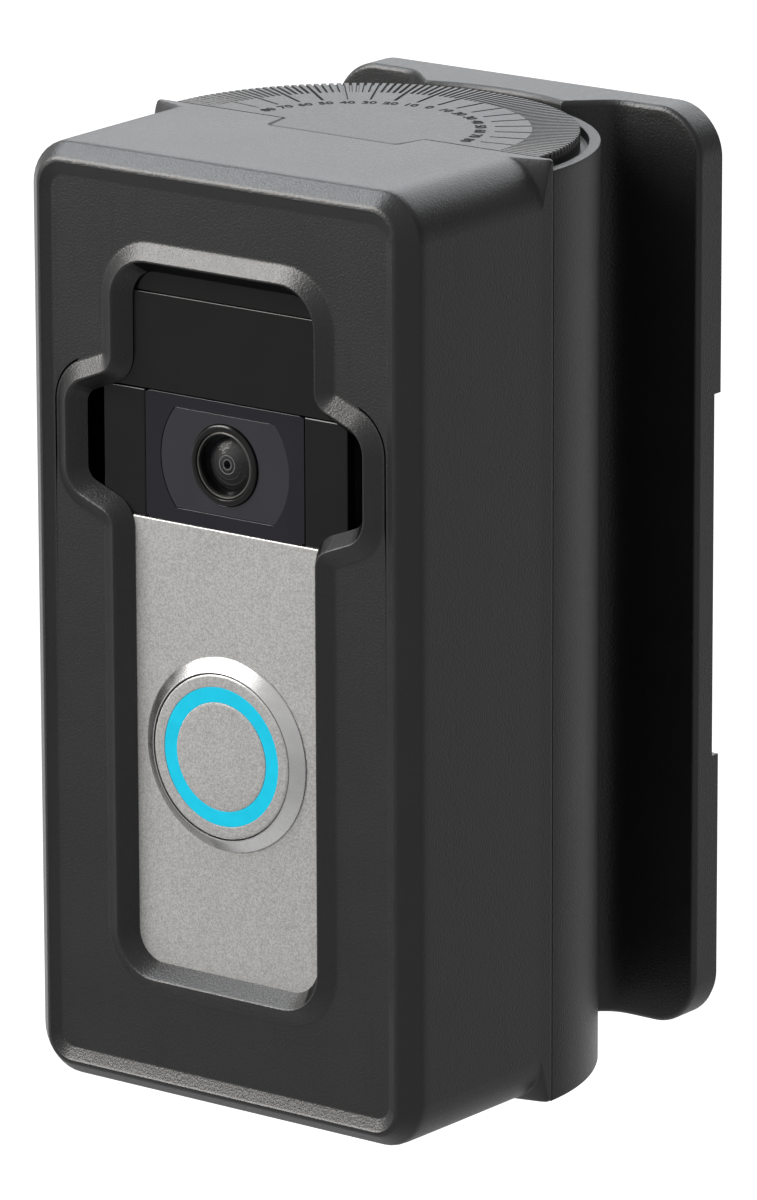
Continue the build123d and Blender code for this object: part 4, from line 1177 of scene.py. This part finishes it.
class DOORBELL_OT_stage(bpy.types.Operator):
    """Sets the pale floor, the studio light and the camera"""
    bl_idname = "doorbell.stage"
    bl_label = "Stage"

    def execute(self, context):
        look = context.scene.doorbell_look
        context.scene.view_settings.view_transform = "Standard"
        add_floor()
        add_surround(look.surround)
        soft_light("key_left", (-0.75, -0.78, 0.68), (0.6, 0.8), look.key_power, (1.0, 0.975, 0.945))
        soft_light("top_left", (-0.7, -0.12, 1.0), (0.6, 0.5), look.top_power, (0.9, 0.95, 1.0))
        soft_light("back_high", (-0.7, 1.85, 1.2), (2.6, 1.4), look.back_power, (0.94, 0.965, 1.0))
        add_camera()
        return {"FINISHED"}


# ======== settings and panel

colour_setting = partial(FloatVectorProperty, subtype="COLOR", size=3, min=0, max=1)
power_setting = partial(FloatProperty, unit="POWER", min=0)


class DoorbellLook(bpy.types.PropertyGroup):
    """Sizes, colours and light that a user would change."""
    case_colour: colour_setting(
        name="Case colour", description="Moulded plastic of the case and bracket",
        default=(0.007, 0.007, 0.0072))
    plate_colour: colour_setting(
        name="Plate colour", description="Blasted metal of the faceplate and button",
        default=(0.39, 0.387, 0.38))
    ring_colour: colour_setting(
        name="Ring colour", description="Glow of the ring round the button",
        default=(0.002, 0.55, 0.76))
    groove_depth: FloatProperty(
        name="Groove depth", description="Depth of the dial's graduation grooves",
        unit="LENGTH", min=0.0, max=0.001, default=0.00035, precision=5)
    surround: FloatProperty(
        name="Surround", description="Brightness of the white surround", min=0, max=5, default=0.62)
    key_power: power_setting(
        name="Key light", description="Power of the light on the left", default=25.0)
    top_power: power_setting(
        name="Top light", description="Power of the light above", default=8.0)
    back_power: power_setting(
        name="Back light", description="Power of the light behind", default=26.0)


class DOORBELL_PT_build(bpy.types.Panel):
    """Lists the settings and the pieces in the order in which they are built"""
    bl_idname = "DOORBELL_PT_build"
    bl_label = "Doorbell"
    bl_space_type = "VIEW_3D"
    bl_region_type = "UI"
    bl_category = "Doorbell"

    def draw(self, context):
        for name in DoorbellLook.__annotations__:
            self.layout.prop(context.scene.doorbell_look, name)
        for step in STEPS:
            self.layout.operator(step.bl_idname)


STEPS = (
    DOORBELL_OT_stage, DOORBELL_OT_case_front, DOORBELL_OT_case_drum, DOORBELL_OT_angle_dial,
    DOORBELL_OT_wall_bracket, DOORBELL_OT_adhesive_pads, DOORBELL_OT_faceplate,
    DOORBELL_OT_camera_section, DOORBELL_OT_top_spacer, DOORBELL_OT_lens, DOORBELL_OT_button,
    DOORBELL_OT_screws, DOORBELL_OT_inner_parts,
)
CLASSES = (DoorbellLook, *STEPS, DOORBELL_PT_build)


def register():
    for item in CLASSES:
        bpy.utils.register_class(item)
    bpy.types.Scene.doorbell_look = PointerProperty(type=DoorbellLook)


def unregister():
    del bpy.types.Scene.doorbell_look
    for item in reversed(CLASSES):
        bpy.utils.unregister_class(item)


def main():
    register()
    for step in STEPS:
        getattr(bpy.ops.doorbell, step.bl_idname.split(".")[1])()


if __name__ == "__main__":
    main()
